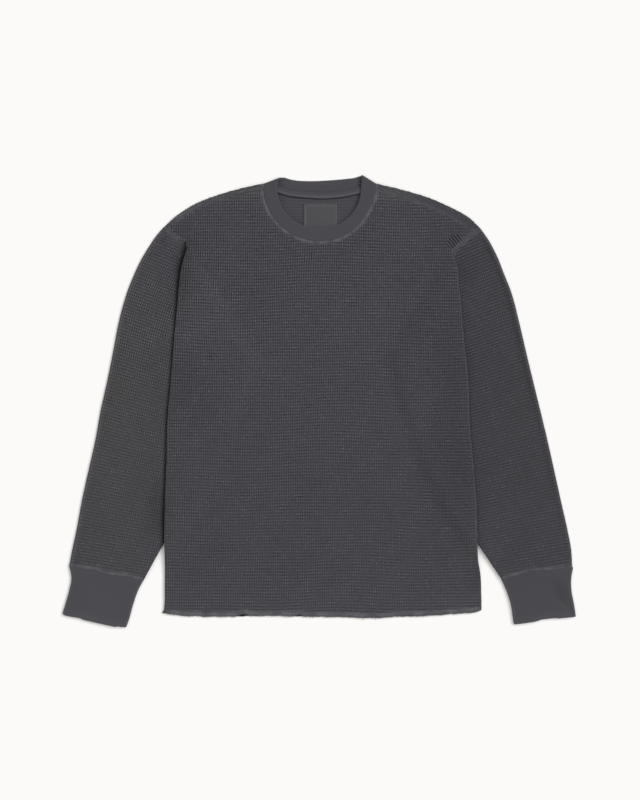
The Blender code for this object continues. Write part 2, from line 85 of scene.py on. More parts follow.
NECK_SEAM_CENTRE = (0.8, 356.0)
NECK_SEAM_RADIUS = 94.0
NECK_SEAM_INSET = (        # how far the front seam runs inside that circle: angle, distance
    (180, 0.4), (205, 0), (292, 0), (312, 1.6), (330, 2.8), (342, 2.4), (352, 0.6), (360, 0))
NECK_EDGE_CENTRE = (0.0, 353.0)
NECK_EDGE = (              # free edge of the front half: angle, radius
    (166, 65.6), (180, 69.3), (200, 70), (270, 69.5), (325, 69.8), (345, 69.4), (362, 69),
    (375, 72.4))
BACK_NECK_SEAM = (         # x, y
    (-92.6, 353.2), (-68.6, 347.4), (-51, 342.4), (-32, 339.8), (4, 337.5),
    (36, 339.8), (65.5, 345.2), (94.2, 353.2))
BACK_NECK_EDGE = (         # x, y
    (-63.5, 367.6), (-58.5, 367.9), (-53, 366.4), (-47, 364.6), (-38.6, 363.1), (-19.6, 362),
    (12, 363), (43.5, 365.6), (59, 367.6), (65.5, 369.6), (70.6, 371.2))
TAPE_EDGE = (              # lower edge of the neck tape: x, y
    (-72, 344.2), (-51.2, 337.6), (-32.3, 335.2), (-11.8, 333.7), (4, 333),
    (19.8, 333.7), (35.6, 335.2), (53, 338.4), (70, 342))
TAPE_WIDTH = 10.0
CUFF_LENGTH = 81.0
CUFF_TUCK = 2.2            # how much of that lies in the sleeve
NECKBAND_WIDTH = 24.5
RIB_POINTS = 4             # points for each rib
RIB_ROW = 1.5              # height of one row of the rib knit
FINE = 400                 # points on the finely drawn edges of cuffs and neckband
LABEL = SimpleNamespace(x=(-26.0, 29.0), y=(275.0, 325.0))
HEM = (                    # x, y
    (-259.6, -351.2), (-252, -352.6), (-238, -354.8), (-222, -356.2), (-150, -357.4),
    (-90, -356.4), (-20, -357.6), (50, -358.8), (92, -359.8), (125, -357.8),
    (165, -357), (205, -354.4), (240, -351.8), (255, -351), (268, -347))

RIGHT = SimpleNamespace(   # the wearer's right, at -X
    name="right",
    sign=-1.0,
    side_edge=(            # x, y from armhole to hem
        (-220, 261), (-218.2, 255.5), (-221, 243), (-226.5, 223), (-230, 203),
        (-232.1, 182), (-234.7, 152), (-239.7, 99), (-244.7, 33), (-250.5, -33), (-252, -99),
        (-254.6, -165), (-255.6, -240), (-254.9, -275), (-255.1, -313), (-255.6, -338),
        (-256.6, -346), (-259.6, -351.2)),
    armhole=((-253.5, 289), (-246, 276), (-236, 267), (-220, 261)),
    shoulder_fold=(        # x, y from neck to armhole
        (-91.8, 357.9), (-116, 353.2), (-154, 343.5), (-184, 333.6),
        (-207, 323.7), (-223, 314), (-238, 303.5), (-253.5, 289)),
    shoulder_seam=(
        (-93.3, 347), (-116, 343.5), (-154, 335), (-184, 325.8),
        (-206, 316.4), (-221, 308), (-236.5, 298.4), (-251.5, 286)),
    upper_notch=((-222.5, 252), (-229.5, 229)),
    lower_notch=((-219.4, 256), (-217.2, 247), (-217.6, 238)),
    underarm=(-124, 63),
    sleeve_outer=(         # x, y from armhole to cuff
        (-253.5, 289), (-268, 273), (-281, 254), (-292.5, 235), (-306, 207),
        (-316, 182), (-330.5, 132), (-340, 83), (-350, 33), (-361, -16),
        (-370, -66), (-381, -115), (-392, -165), (-401, -214), (-408.3, -248), (-413, -273)),
    sleeve_inner=((-124, 63), (-154, -24), (-189, -110), (-230, -193),
                  (-258, -239), (-290, -297)),
    cuff_outer=((-413, -273), (-409.4, -292), (-413, -313), (-419.8, -338), (-424.5, -353)),
    cuff_inner=((-290, -297), (-298.6, -313), (-307.4, -338), (-314, -362), (-318.8, -375.5)),
    wrist_bow=(            # share of the way in, rise
        (0, -1.5), (0.15, 0), (0.33, 0.8), (0.47, -2.4), (0.65, -0.6), (0.78, 0.8), (0.9, -0.8), (1, 0)),
    edge_bow=((0, 0), (0.1, -1.6), (0.29, -0.7), (0.48, -2.6), (0.65, -2.8), (0.86, -1.2), (1, 0.3)),
    neck_point=(-92.6, 357.4),
    neck_peak=(-63.5, 368.5),
)
LEFT = SimpleNamespace(    # the wearer's left, at +X
    name="left",
    sign=1.0,
    side_edge=(
        (219.5, 242.5), (222.9, 234.8), (228.2, 216.8), (229.8, 195), (232.4, 172),
        (238.8, 99), (245.4, 33), (247.8, -33), (253.6, -99), (258.6, -165),
        (261, -240), (262.2, -264), (266.2, -288), (267.5, -320), (268, -347)),
    armhole=((266, 284), (256.6, 276.9), (246.2, 269.4), (233.5, 256.9), (219.5, 242.5)),
    shoulder_fold=(
        (93.4, 357.8), (115, 353.2), (153, 343.5), (184, 333.6),
        (207, 323.7), (227, 314), (248, 301.5), (266, 284)),
    shoulder_seam=(
        (95.2, 344.5), (114, 340), (151, 330.5), (180, 320),
        (202, 310), (220, 301.5), (240, 290), (261.2, 280.4)),
    upper_notch=((223.2, 234.8), (228.7, 214)),
    lower_notch=((224.6, 234.8), (228.4, 223)),
    underarm=(138, 79.5),
    sleeve_outer=(
        (266, 284), (280, 264), (295, 235), (306, 207), (316, 182),
        (329.5, 132), (341, 83), (353, 33), (365, -16), (377, -66),
        (388, -115), (399, -165), (410, -214), (416.5, -250), (418, -281)),
    sleeve_inner=((138, 79.5), (156, -8), (186, -99), (227, -181),
                  (263, -239), (300.5, -295)),
    cuff_outer=((419, -281), (416.3, -296), (416.3, -313), (421, -338), (424, -357.5)),
    cuff_inner=((300.5, -295), (308.5, -313), (316.4, -338), (319.6, -358), (321, -369)),
    wrist_bow=((0, 3), (0.2, 5.4), (0.35, 5.8), (0.55, 7), (0.72, 4.3), (0.86, 1.7), (1, -0.4)),
    edge_bow=((0, 0), (0.1, 0), (0.3, 1.3), (0.48, 1.7), (0.6, 0.4), (0.75, -1.1), (0.9, -1.5), (1, 0)),
    neck_point=(94.2, 357.4),
    neck_peak=(70, 372.6),
)
SIDES = (RIGHT, LEFT)

SHIFT = np.array(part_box("neck_label")[0])[:2] / MM - (LABEL.x[0], LABEL.y[0])

# Rows of the sleeve's knit: their slope down towards the body, in degrees, at the top and at the cuff
ROW_LEAN = (23.0, 9.0)
# Half cells of the knit's lattice laid past an outline, so that the trimmed lattice reaches it all round
LATTICE_MARGIN = 3
# Steps of the lattice over which an edge's seam shows
EDGE_STEPS = 5
LINING_GRID = 12.0         # spacing of the points on a wall's plain inner side
LINING_INSET = 2.6
NECK_OVERLAP = 1.3         # how far the front's neckline runs in under the neckband's rounded edge
BEADS = 0.3                # how far the side edges go in and out from row to row
FAR = 99.0
RIM_STEP = 0.3             # least distance between two rim points of a wall
SHARP_FACES = 62.0         # angle between faces, in degrees, from which an edge is shaded sharp
SHARP = 35.0               # bend of an outline, in degrees, from which a rim point takes the corner

# How the cloth ends at each kind of edge, in millimetres:
# rim: height of the edge against the wall's middle; round: width over which the outer side rounds over;
# swell, swell_at: height and place of the seam allowance's ridge; calm: width that the stitching presses
# flat; fade, fade_to: how far the wash has paled the edge, and over what width
EDGES = {                  # rim, round, swell, swell_at, calm, fade, fade_to
    "side": (-0.8, 3.0, 0.3, 2.4, 0.5, 0.45, 1.6),
    "level": (0.7, 0.5, 0.1, 2.4, 0.8, 0.3, 1.6),
    "hem": (-0.5, 2.6, 1.3, 5.0, 7.5, 0.85, 8.0),
    "neck": (0.1, 1.5, 0.4, 3.6, 5.2, 0.98, 6.0),
    "shoulder": (0.74, 0.3, 0.1, 2.4, 2.0, 0.35, 3.4),
    "armhole": (0.74, 0.3, 0.2, 2.8, 2.4, 0.4, 4.5),
    "cuff": (0.7, 0.5, 0.5, 3.4, 6.0, 0.75, 5.5),
    "under": (0.0, 2.0, 0.0, 3.0, 1.0, 0.0, 1.0),
}
HEM_FADE = (               # how far the hem's roll is paled along it: x, share
    (-262, 0.5), (-245, 1.3), (-150, 1.15), (40, 1), (150, 0.8), (215, 0.85), (268, 0.9))

# Where the laid body stands off the surface
RAISED = (                 # x, y, reach across, reach along, heading of the long way, rise
    (-262, -300, 16, 52, 92, 3.2),
    (70, -366, 9, 26, 0, 1.2),
)

# Soft folds of the body's front, seen from above: ends, sideways bow of the middle, height, half width
BODY_FOLDS = (             # x0, y0, x1, y1, bow, height, width
    (-150, 92, 140, 98, 6, 0.9, 13),
    (-216, 100, -140, 10, 10, -1.3, 17),
    (-60, -110, -185, -300, 12, 0.8, 13),
    (-10, -120, -80, -310, -8, -0.6, 15),
    (225, 70, 165, -80, -12, -1.3, 19),
    (120, 250, 60, 120, 10, 0.6, 16),
    (-70, 240, -150, 130, 8, 0.7, 20),
    (-195, 200, -170, 130, 5, 0.9, 18),
    (90, -40, 40, -170, 8, -0.5, 18),
    (215, -150, 190, -270, 6, 0.7, 18),
    (-230, -60, -205, -180, 6, 0.9, 14),
)

# Creases over the armholes, which run on from the body to the sleeve
ARMHOLE_FOLDS = (          # x0, y0, x1, y1, bow, height, width
    (-200, 300, -257, 236, 5, 2.3, 6.5),
    (-249, 288, -266, 236, -3, -1.3, 7),
    (-222, 274, -236, 238, 2, -0.9, 6),
    (205, 292, 222, 236, 4, -0.9, 6),
    (236, 262, 258, 190, -4, 0.8, 10),
)

# Painted shadow beside the body's edge, on each sleeve: y, depth, reach
CREVICE_SHADOW = {
    "right": ((-262, 0.85, 4), (-240, 0.88, 5.5), (-200, 0.85, 6.5), (-150, 0.74, 4.6), (-60, 0.68, 3.2),
              (120, 0.78, 3.4), (190, 0.9, 5.2), (215, 0.92, 6.8), (254, 0.93, 6), (262, 0.6, 3)),
    "left": ((-240, 0, 3), (-200, 0.15, 3), (200, 0.1, 3), (244, 0, 3)),
}

# Tone of each sleeve beside its outer edge: a paler rim, partly the fold's wear and partly painted
# highlight, and painted shade of the rolled fold just inside it: distance in, shade
OUTER_FOLD_WEAR_AND_LIGHT = {
    "right": ((0, 1.55), (3.5, 1.3), (7, 1.02), (12, 0.97), (22, 1)),
    "left": ((0, 1.5), (3, 1.32), (6, 0.76), (9, 0.78), (14, 0.96), (22, 1)),
}

# Gathers of the knit: ovals in which fine pleats, drawn as painted shadow lines, replace the waffle
GATHERS = (                # x, y, reach across, reach along, heading of the pleats in degrees, pitch, depth
    (223.5, 263, 13.5, 10, -52, 4.5, 0.8),
)

# Soft folds of the cuffs' upper sides
CUFF_FOLDS = (             # x0, y0, x1, y1, bow, height, width
    (384, -322, 424, -354, 2, -1.5, 4.5),
    (-408, -300, -345, -342, 3, 0.4, 9),
)

# How strongly the waffle's ridges show across the top: place, lengthwise ridges, crosswise ridges
GAIN_DOWN = (              # y, lengthwise, crosswise
    (-350, 0.12, 0.155), (-200, 0.12, 0.155), (0, 0.17, 0.175), (120, 0.25, 0.20), (260, 0.29, 0.20),
    (340, 0.27, 0.19))
GAIN_ACROSS = (            # x, lengthwise, crosswise
    (-430, 0.45, 1), (-330, 0.95, 1), (-262, 1, 1), (-240, 1.25, 1.05), (0, 1.05, 1),
    (150, 0.80, 1.05), (240, 0.45, 1.2), (300, 0.50, 0.85), (430, 0.25, 0.95))

# Uneven wash, with painted highlights and shade over the cloth's slopes, creases, folds and crevices: soft
# ovals that are paler or darker, and greyer, than the rest
WASH_AND_PAINTED_LIGHT = (                   # x, y, reach across, reach along, heading of the long way, paler, greyer
    (-345, 20, 80, 330, 90, 0.05, 0.9),
    (345, 40, 75, 330, 90, -0.13, 0.2),
    (228, 40, 60, 230, 90, -0.12, 0),
    (-190, 145, 50, 60, 90, 0.08, 0),
    (0, 110, 140, 160, 90, 0.02, 0),
    (0, -350, 320, 50, 90, 0.07, 0.3),
    (0, 350, 240, 40, 90, 0.05, 0.25),
    (-130, 350, 16, 70, -15, 0.14, 0.2),
    (135, 348, 16, 70, 12, 0.14, 0.2),
    # painted shade of the fold on the left cuff
    (398, -312, 9, 18, -60, -0.16, 0),
    # painted shadow of the crevice on the right sleeve
    (-268, -180, 16, 45, 90, -0.22, 0),
    (-232, 301, 5, 26, 35, 0.35, 0.1),
    (-205, 322, 9, 34, 28, 0.16, 0.1),
    (262, -290, 14, 24, 90, -0.12, 0),
    (100, 165, 40, 60, 90, 0.05, 0),
    (150, 272, 20, 25, 0, 0.06, 0),
    # painted shade along the crevice beside the body's right edge
    (-226, 205, 20, 70, 82, -0.22, 0.2),
    (-230, 25, 50, 60, 90, -0.10, 0),
    (240, -118, 50, 60, 90, -0.11, 0),
    (250, 225, 18, 36, 90, -0.16, 0),
    (-275, 112, 22, 90, 0, 0.08, 0),
    (225, -335, 14, 40, 0, 0.1, 0),
    # painted highlight on the puff over the right armhole
    (-234, 264, 5.5, 20, 50, 0.12, 0),
    # painted shade at the top of the right crevice
    (-222, 250, 5, 16, 60, -0.25, 0),
    (236, 264, 7, 20, 40, 0.16, 0.1),
)

# Painted shadow on the back half of the neckband, beside the front half's ends
PEAK_SHADOW = (             # x, lowest y, highest y, half width, depth
    (67.6, 341, 371, 1.5, 0.75),
    (-65, 344, 366, 4, 0.3),
)

# Soft folds of each sleeve's upper side: distance in from the outer edge and down from the top
SLEEVE_FOLDS = {
    "right": (             # in0, down0, in1, down1, bow, height, width
        (20, 20, 52, 95, 5, 0.9, 9),
        (30, 130, 78, 240, 6, 0.8, 14),
        (70, 290, 20, 400, 8, 0.7, 16),
        (95, 330, 60, 470, -8, -0.7, 15),
        (40, 470, 75, 560, 5, 0.6, 13),
    ),
    "left": (
        (20, 40, 46, 130, -5, -0.7, 11),
        (56, 150, 30, 290, 7, 0.8, 14),
        (80, 250, 45, 400, 8, -0.7, 16),
        (28, 380, 66, 500, -6, 0.7, 14),
        (85, 450, 55, 575, 6, 0.6, 13),
    ),
}

# Broad, slow waves of the laid cloth: wavelengths along x and y, phase, height
SLOW_WAVES = (             # x_wave, y_wave, phase, height
    (310, 520, 0.6, 0.35),
    (-190, 260, 2.1, 0.25),
    (140, -330, 4, 0.2),
    (95, 150, 1.2, 0.12),
    (-70, 88, 5.1, 0.08),
)

FRAY_BUNCHES = (-140.0, -113.0, -110.0, -44.0, -26.0)    # where loose ends bunch along the hem: x

# The stage, in metres and degrees where nothing else is said
FLOOR_HALF = 60.0
FLOOR_LEVEL = -0.0004
FILL_COLOUR = (1.0, 0.985, 0.965, 1.0)
KEY_COLOUR = (0.97, 0.988, 1.0)
KEY_TURN = (-20.0, 46.0, 0.0)
SENSOR = 36.0                  # width of the camera's sensor, in millimetres
VIEW_CENTRE = (1.155, 0.33)    # in the tables' millimetres
VIEW_LEVEL = 0.006             # height above the surface at which the view's height is measured
WHITE = (0.974, 0.956, 0.939)  # where the view's red, green and blue level off


# ---- settings that a user would change

class ThermalTopCloth(bpy.types.PropertyGroup):
    """Sizes and colours of the knit and its trimmings."""
    column: FloatProperty(
        name="Column width", description="Width of one waffle cell, across the knit",
        default=3.75 * MM, min=1.0 * MM, max=20.0 * MM, unit="LENGTH", precision=4)
    row: FloatProperty(
        name="Row height", description="Height of one waffle cell, along the knit",
        default=5.1 * MM, min=1.0 * MM, max=20.0 * MM, unit="LENGTH", precision=4)
    relief: FloatProperty(
        name="Waffle depth", description="Depth of a waffle pit below the ridges round it",
        default=0.95 * MM, min=0.0, max=2.0 * MM, unit="LENGTH", precision=4)
    rib: FloatProperty(
        name="Rib pitch", description="Distance from one rib of the cuffs and neckband to the next",
        default=1.75 * MM, min=0.8 * MM, max=6.0 * MM, unit="LENGTH", precision=4)
    rib_relief: FloatProperty(
        name="Rib depth", description="Depth of the grooves between ribs",
        default=0.14 * MM, min=0.0, max=1.0 * MM, unit="LENGTH", precision=5)
    waffle_colour: FloatVectorProperty(
        name="Waffle colour", description="Colour of the washed waffle knit",
        default=(0.0524, 0.0513, 0.0602), size=3, min=0.0, max=1.0, subtype="COLOR")
    rib_colour: FloatVectorProperty(
        name="Rib colour", description="Colour of the washed rib knit",
        default=(0.0560, 0.0550, 0.0638), size=3, min=0.0, max=1.0, subtype="COLOR")
    faded_colour: FloatVectorProperty(
        name="Faded colour", description="Colour of seams and raw edges that the wash has paled",
        default=(0.1075, 0.1050, 0.1170), size=3, min=0.0, max=1.0, subtype="COLOR")
    label_colour: FloatVectorProperty(
        name="Label colour", description="Colour of the satin neck label",
        default=(0.0382, 0.0372, 0.0455), size=3, min=0.0, max=1.0, subtype="COLOR")
    thread_colour: FloatVectorProperty(
        name="Thread colour", description="Colour of the sewing thread",
        default=(0.1410, 0.1380, 0.1520), size=3, min=0.0, max=1.0, subtype="COLOR")


class ThermalTopStitching(bpy.types.PropertyGroup):
    """Sizes of the sewing and the frayed hem."""
    stitch: FloatProperty(
        name="Stitch length", description="Length of one stitch",
        default=2.6 * MM, min=1.0 * MM, max=8.0 * MM, unit="LENGTH", precision=4)
    thread: FloatProperty(
        name="Thread radius", description="Radius of the sewing thread",
        default=0.26 * MM, min=0.05 * MM, max=1.0 * MM, unit="LENGTH", precision=5)
    frays: IntProperty(
        name="Frayed ends", description="Number of loose yarn ends along the raw hem",
        default=620, min=0, max=2000)
    seed: IntProperty(
        name="Seed", description="Seed of the fraying's random lengths and places", default=7, min=0)


class ThermalTopStage(bpy.types.PropertyGroup):
    """The surface that the top lies on, the light and the camera."""
    floor_colour: FloatVectorProperty(
        name="Floor colour", description="Colour of the pale surface",
        default=(0.985, 0.98, 0.97), size=3, min=0.0, max=1.0, subtype="COLOR")
    key: FloatProperty(
        name="Key light", description="Strength of the soft key light", default=1.58, min=0.0)
    key_size: FloatProperty(
        name="Key softness", description="Angle that the key light spreads over",
        default=np.radians(38.0), min=0.0, max=np.pi, subtype="ANGLE")
    fill: FloatProperty(
        name="Fill light", description="Strength of the even light from all round", default=0.76, min=0.0)
    lens: FloatProperty(
        name="Lens", description="Focal length of the camera in millimetres", default=85.0, min=20.0)
    view_height: FloatProperty(
        name="View height", description="Height of the camera's view, at the cloth",
        default=1.32, min=0.2, unit="LENGTH")


# ---- curves and fields

def blocks(count, size=3000):
    """Slices that cut a long array into short runs."""
    return [slice(start, start + size) for start in range(0, count, size)]


def lengths(line):
    """Length of a line of straight runs up to each of its points."""
    return np.concatenate(([0.0], np.cumsum(np.linalg.norm(np.diff(line, axis=0), axis=1))))


def between(where, places, rows):
    """Rows of numbers at the places asked for, in straight lines between the places given."""
    return np.stack([np.interp(where, places, column) for column in rows.T], axis=-1)


def table_at(table, where, column=1):
    """A column of a table whose first column is the place, in straight lines between its rows."""
    table = np.array(table)
    return np.interp(where, table[:, 0], table[:, column])


def unit(vectors):
    """Vectors scaled to a length of one."""
    return vectors / np.linalg.norm(vectors, axis=-1)[..., None]


def aside(run):
    """Unit vectors in plan, square to the given ones and to their left."""
    return unit(np.column_stack([-run[:, 1], run[:, 0]]))


def polar(turn):
    """Unit vectors in plan at angles in radians."""
    return np.column_stack([np.cos(turn), np.sin(turn)])


def bell(distance, width):
    """A bell curve, 1 in its middle."""
    return np.exp(-(distance / width) ** 2)


def curve(points, step=None, count=None):
    """Evenly spaced points on the smooth line (cubic Hermite on chord length) through the points."""
    knots = np.asarray(points, float)
    chord = lengths(knots)
    slopes = np.gradient(knots, chord, axis=0)
    where = np.linspace(0.0, chord[-1], 24 * len(knots))
    k = np.clip(np.searchsorted(chord, where, side="right") - 1, 0, len(knots) - 2)
    span = (chord[k + 1] - chord[k])[:, None]
    t = (where - chord[k])[:, None] / span
    line = ((2 * t**3 - 3 * t**2 + 1) * knots[k] + (t**3 - 2 * t**2 + t) * span * slopes[k]
            + (3 * t**2 - 2 * t**3) * knots[k + 1] + (t**3 - t**2) * span * slopes[k + 1])
    return evenly(line, step, count)


def evenly(line, step=None, count=None):
    """Points at even steps, or a given number of them, along a line of straight runs."""
    line = np.asarray(line, float)
    arc = lengths(line)
    if count is None:
        count = max(2, round(arc[-1] / step) + 1)
    return between(np.linspace(0.0, arc[-1], count), arc, line)


def smooth(value, start, end):
    """0 up to start, 1 from end on, and a smoothstep between them."""
    t = np.clip((value - start) / (end - start), 0.0, 1.0)
    return t * t * (3.0 - 2.0 * t)


def nearest(points, line):
    """Each point's distance to a line of straight runs, the nearest run's number and the nearest spot."""
    start, run = line[:-1], np.diff(line, axis=0)
    square = (run * run).sum(1)
    far = np.empty(len(points))
    number = np.empty(len(points), int)
    spot = np.empty((len(points), 2))
    for part in blocks(len(points)):
        offset = points[part, None] - start
        share = np.clip((offset * run).sum(2) / square, 0.0, 1.0)
        gap = offset - share[..., None] * run
        span = (gap * gap).sum(2)
        best = span.argmin(1)
        rows = np.arange(len(best))
        far[part] = np.sqrt(span[rows, best])
        number[part] = best
        spot[part] = points[part] - gap[rows, best]
    return far, number, spot


def gap_to(points, line, reach):
    """Each point's distance to a line, or reach where it is further away than that."""
    line = np.asarray(line)
    far = np.full(len(points), float(reach))
    low, high = line.min(0) - reach, line.max(0) + reach
    close = np.flatnonzero(((points > low) & (points < high)).all(1))
    if len(close):
        far[close] = np.minimum(nearest(points[close], line)[0], reach)
    return far


def inside(points, polygon):
    """True for each point in the polygon, by counting the edges that a ray to +X crosses."""
    start, end = polygon, np.roll(polygon, -1, axis=0)
    rise = np.where(end[:, 1] == start[:, 1], 1.0, end[:, 1] - start[:, 1])
    slope = (end[:, 0] - start[:, 0]) / rise
    found = np.empty(len(points), bool)
    for part in blocks(len(points)):
        x, y = points[part, 0, None], points[part, 1, None]
        spans = (start[:, 1] > y) != (end[:, 1] > y)
        found[part] = (spans & (x < start[:, 0] + (y - start[:, 1]) * slope)).sum(1) % 2 == 1
    return found


def closed(line):
    """A line with its first point again at its end."""
    return np.vstack([line, line[:1]])


def body_lift(points):
    """How far the back panel is lifted: full over a sleeve, eased down beside it."""
    lift = np.zeros(len(points))
    for side in SIDES:
        outer = curve(side.sleeve_outer, step=12.0)
        outer = outer[outer[:, 1] < side.upper_notch[-1][1]]
        region = np.vstack([[side.upper_notch[-1]], curve(side.sleeve_inner, step=12.0), outer[::-1]])
        away = np.where(inside(points, region), 0.0, gap_to(points, closed(region), RAMP))
        lift = np.maximum(lift, BODY_LIFT * (1.0 - smooth(away, RAMP_START, RAMP)))
    for *place, rise in RAISED:
        lift += rise * oval(points, *place)[0]
    return lift


def body_air(points):
    """Air between the panels: least along side seams and hem, most around the neckline."""
    air = np.full(len(points), BODY_AIR)
    for side in SIDES:
        top = side.side_edge[0][1]
        below_armhole = 1.0 - smooth(points[:, 1], top - RAMP, top - 2.0)
        edge = curve(side.side_edge, step=10.0)
        near = (1.0 - smooth(gap_to(points, edge, SIDE_ROLL), 0.0, SIDE_ROLL)) * below_armhole
        air -= (BODY_AIR - SIDE_AIR) * near
    near_hem = 1.0 - smooth(gap_to(points, curve(HEM, step=10.0), HEM_ROLL), 0.0, HEM_ROLL)
    air = np.minimum(air, BODY_AIR - (BODY_AIR - HEM_AIR) * near_hem)
    from_neck = np.linalg.norm(points - NECK_SEAM_CENTRE, axis=1) - NECK_SEAM_RADIUS
    return air + (NECK_AIR - BODY_AIR) * (1.0 - smooth(from_neck, 1.0, NECK_RISE))


def back_middle(points):
    """Height of the middle of the back's wall."""
    return body_lift(points) + WAFFLE_WALL / 2


def front_middle(points):
    """Height of the middle of the front's wall: the back's, one wall and the air between them."""
    return back_middle(points) + WAFFLE_WALL + body_air(points)


def folds(points, table):
    """Height of soft folds: each a ridge or trough with a bell-shaped section along a bowed line.

    The line's sideways bow follows a half sine, and its height fades to nothing at both ends.
    """
    height = np.zeros(len(points))
    for x0, y0, x1, y1, bend, rise, width in table:
        start, run = np.array((x0, y0)), np.array((x1 - x0, y1 - y0), float)
        length = np.linalg.norm(run)
        run /= length
        along = (points - start) @ run / length
        across = (points - start) @ (-run[1], run[0]) - bend * np.sin(np.pi * np.clip(along, 0.0, 1.0))
        fade = smooth(along, -0.12, 0.3) * (1.0 - smooth(along, 0.7, 1.12))
        height += rise * fade * bell(across, width)
    return height


def slow_waves(points):
    """Height of the cloth's slow unevenness: a sum of a few slanted sines."""
    height = np.zeros(len(points))
    for x_wave, y_wave, phase, rise in SLOW_WAVES:
        height += rise * np.sin(2.0 * np.pi * (points[:, 0] / x_wave + points[:, 1] / y_wave) + phase)
    return height


def patches(points, seed, size):
    """Uneven patches from 0 to 1: a sum of eight slanted sines of about the given size."""
    chance = np.random.default_rng(seed)
    heading = chance.uniform(0.0, 2.0 * np.pi, 8)
    wave = size * chance.uniform(0.6, 1.7, 8)
    phase = chance.uniform(0.0, 2.0 * np.pi, 8)
    run = polar(heading) / wave[:, None]
    total = np.zeros(len(points))
    for part in blocks(len(points), 20000):
        total[part] = np.sin(2.0 * np.pi * points[part] @ run.T + phase).mean(1)
    return smooth(total, -0.55, 0.55)


def oval(points, x, y, across, along, heading):
    """A soft oval, 1 in its middle and a bell curve both ways, and each point's distance across it."""
    turn = np.radians(heading)
    down = (points[:, 0] - x) * np.cos(turn) + (points[:, 1] - y) * np.sin(turn)
    side = (points[:, 1] - y) * np.cos(turn) - (points[:, 0] - x) * np.sin(turn)
    return np.exp(-(down / along) ** 2 - (side / across) ** 2), side


def wash_and_painted_light(points):
    """The shade at plan points, from the dye's strength and from painted highlights and shade, and how grey
    it has washed, from the table of soft ovals.
    """
    shade, grey = np.ones(len(points)), np.zeros(len(points))
    for *place, paler, greyer in WASH_AND_PAINTED_LIGHT:
        here = oval(points, *place)[0]
        shade *= 1.0 + paler * here
        grey += greyer * here
    return shade, np.minimum(grey, 1.0)


def pleats(points):
    """How far gathers replace the waffle, and their pleats' phase and depth, for the painted shadow lines
    between the pleats.
    """
    share, look = np.zeros(len(points)), np.zeros((len(points), 2))
    for *place, pitch, depth in GATHERS:
        here, side = oval(points, *place)
        share = np.maximum(share, smooth(here, 0.2, 0.6))
        close = here > 0.05
        look[close] = np.column_stack([side / pitch, depth * smooth(here, 0.15, 0.6)])[close]
    return share, look


def knit_gains(points, seed):
    """Strength of the lengthwise and of the crosswise ridges at plan points.

    Two tables give their trend down and across the top. Patches of a few centimetres, and every
    lattice point by itself, differ from it by chance.
    """
    chance = np.random.default_rng(seed)
    gains = np.empty((len(points), 2))
    for axis, size in enumerate((24.0, 19.0)):
        down = table_at(GAIN_DOWN, points[:, 1], axis + 1)
        across = table_at(GAIN_ACROSS, points[:, 0], axis + 1)
        patch = 1.0 + 1.3 * (patches(points, seed + 3 + axis, size) - 0.5)
        gains[:, axis] = down * across * patch * np.clip(chance.normal(1.0, 0.5, len(points)), 0.1, 2.2)
    return gains


# ---- knit walls

def knit_relief(cells, strength):
    """Height of the waffle from 0 in a pit to 1 where two ridges cross.

    Ridges follow a raised cosine of the cell number both ways. The square root of their mean
    keeps both sets of ridges high and leaves a pit in the middle of each cell.
    strength holds two gains for each point, of the lengthwise and of the crosswise ridges.
    """
    ridges = 0.5 + 0.5 * np.cos(2.0 * np.pi * cells)
    return np.sqrt(np.clip((ridges * strength).mean(1), 0.0, None))


def rim_order(cells, flat):
    """Numbers of the points round the rim of a lattice's cells, in order and starting near the middle.

    Each rim edge belongs to one cell only. Doubling the stride along the edges gives every
    point's number of steps to the starting point.
    """
    start = cells.ravel()
    end = np.roll(cells, -1, axis=1).ravel()
    lone = ~np.isin(start * len(flat) + end, end * len(flat) + start)
    start, end = start[lone], end[lone]
    number = np.full(len(flat), -1)
    number[start] = np.arange(len(start))
    after = number[end]
    first = np.abs(flat[start] - flat[start].mean(0))[:, 0].argmin()
    steps = np.ones(len(start), int)
    steps[first], after[first] = 0, first
    for _ in range(int(np.ceil(np.log2(len(start)))) + 1):
        steps += steps[after]
        after = after[after]
    if (after != first).any():
        raise RuntimeError("the cells of a knit wall do not form one patch")
    return start[np.roll(np.argsort(-steps), 1)]


def spread_on(points, outline):
    """Spots on an outline for the ordered points of a rim, in the same order, and the run each is on.

    Each point goes to the nearest spot. Places along the outline are then made to rise by a least
    step each, and the point nearest to a sharp corner takes the corner itself.
    """
    line = closed(outline)
    runs, arc = np.diff(line, axis=0), lengths(line)
    _, run, spot = nearest(points, line)
    place = arc[run] + np.linalg.norm(spot - line[run], axis=1)
    turn = (np.diff(place) + arc[-1] / 2) % arc[-1] - arc[-1] / 2
    place = place[0] + np.concatenate(([0.0], np.cumsum(turn)))
    if place[-1] - place[0] < arc[-1] / 2:
        raise RuntimeError("an outline runs the wrong way round")
    count = np.arange(len(place))
    rest = place - count * RIM_STEP
    low = np.minimum.accumulate(rest[::-1])[::-1]
    place = (np.maximum.accumulate(rest) + low) / 2 + count * RIM_STEP
    heading = np.degrees(np.arctan2(runs[:, 1], runs[:, 0]))
    bend = np.abs((np.roll(heading, 1) - heading + 180.0) % 360.0 - 180.0)
    corners = (arc[:-1][bend > SHARP] - place[0]) % arc[-1] + place[0]
    place[np.abs(place[:, None] - corners).argmin(0)] = corners
    place = place % arc[-1]
    run = np.clip(np.searchsorted(arc, place, side="right") - 1, 0, len(runs) - 1)
    share = (place - arc[run]) / (arc[run + 1] - arc[run])
    return line[run] + share[:, None] * runs[run], run


def four_round(cells):
    """The cells above, below and on both sides of each cell of a lattice."""
    framed = np.pad(cells, 1)
    return framed[2:, 1:-1], framed[:-2, 1:-1], framed[1:-1, 2:], framed[1:-1, :-2]


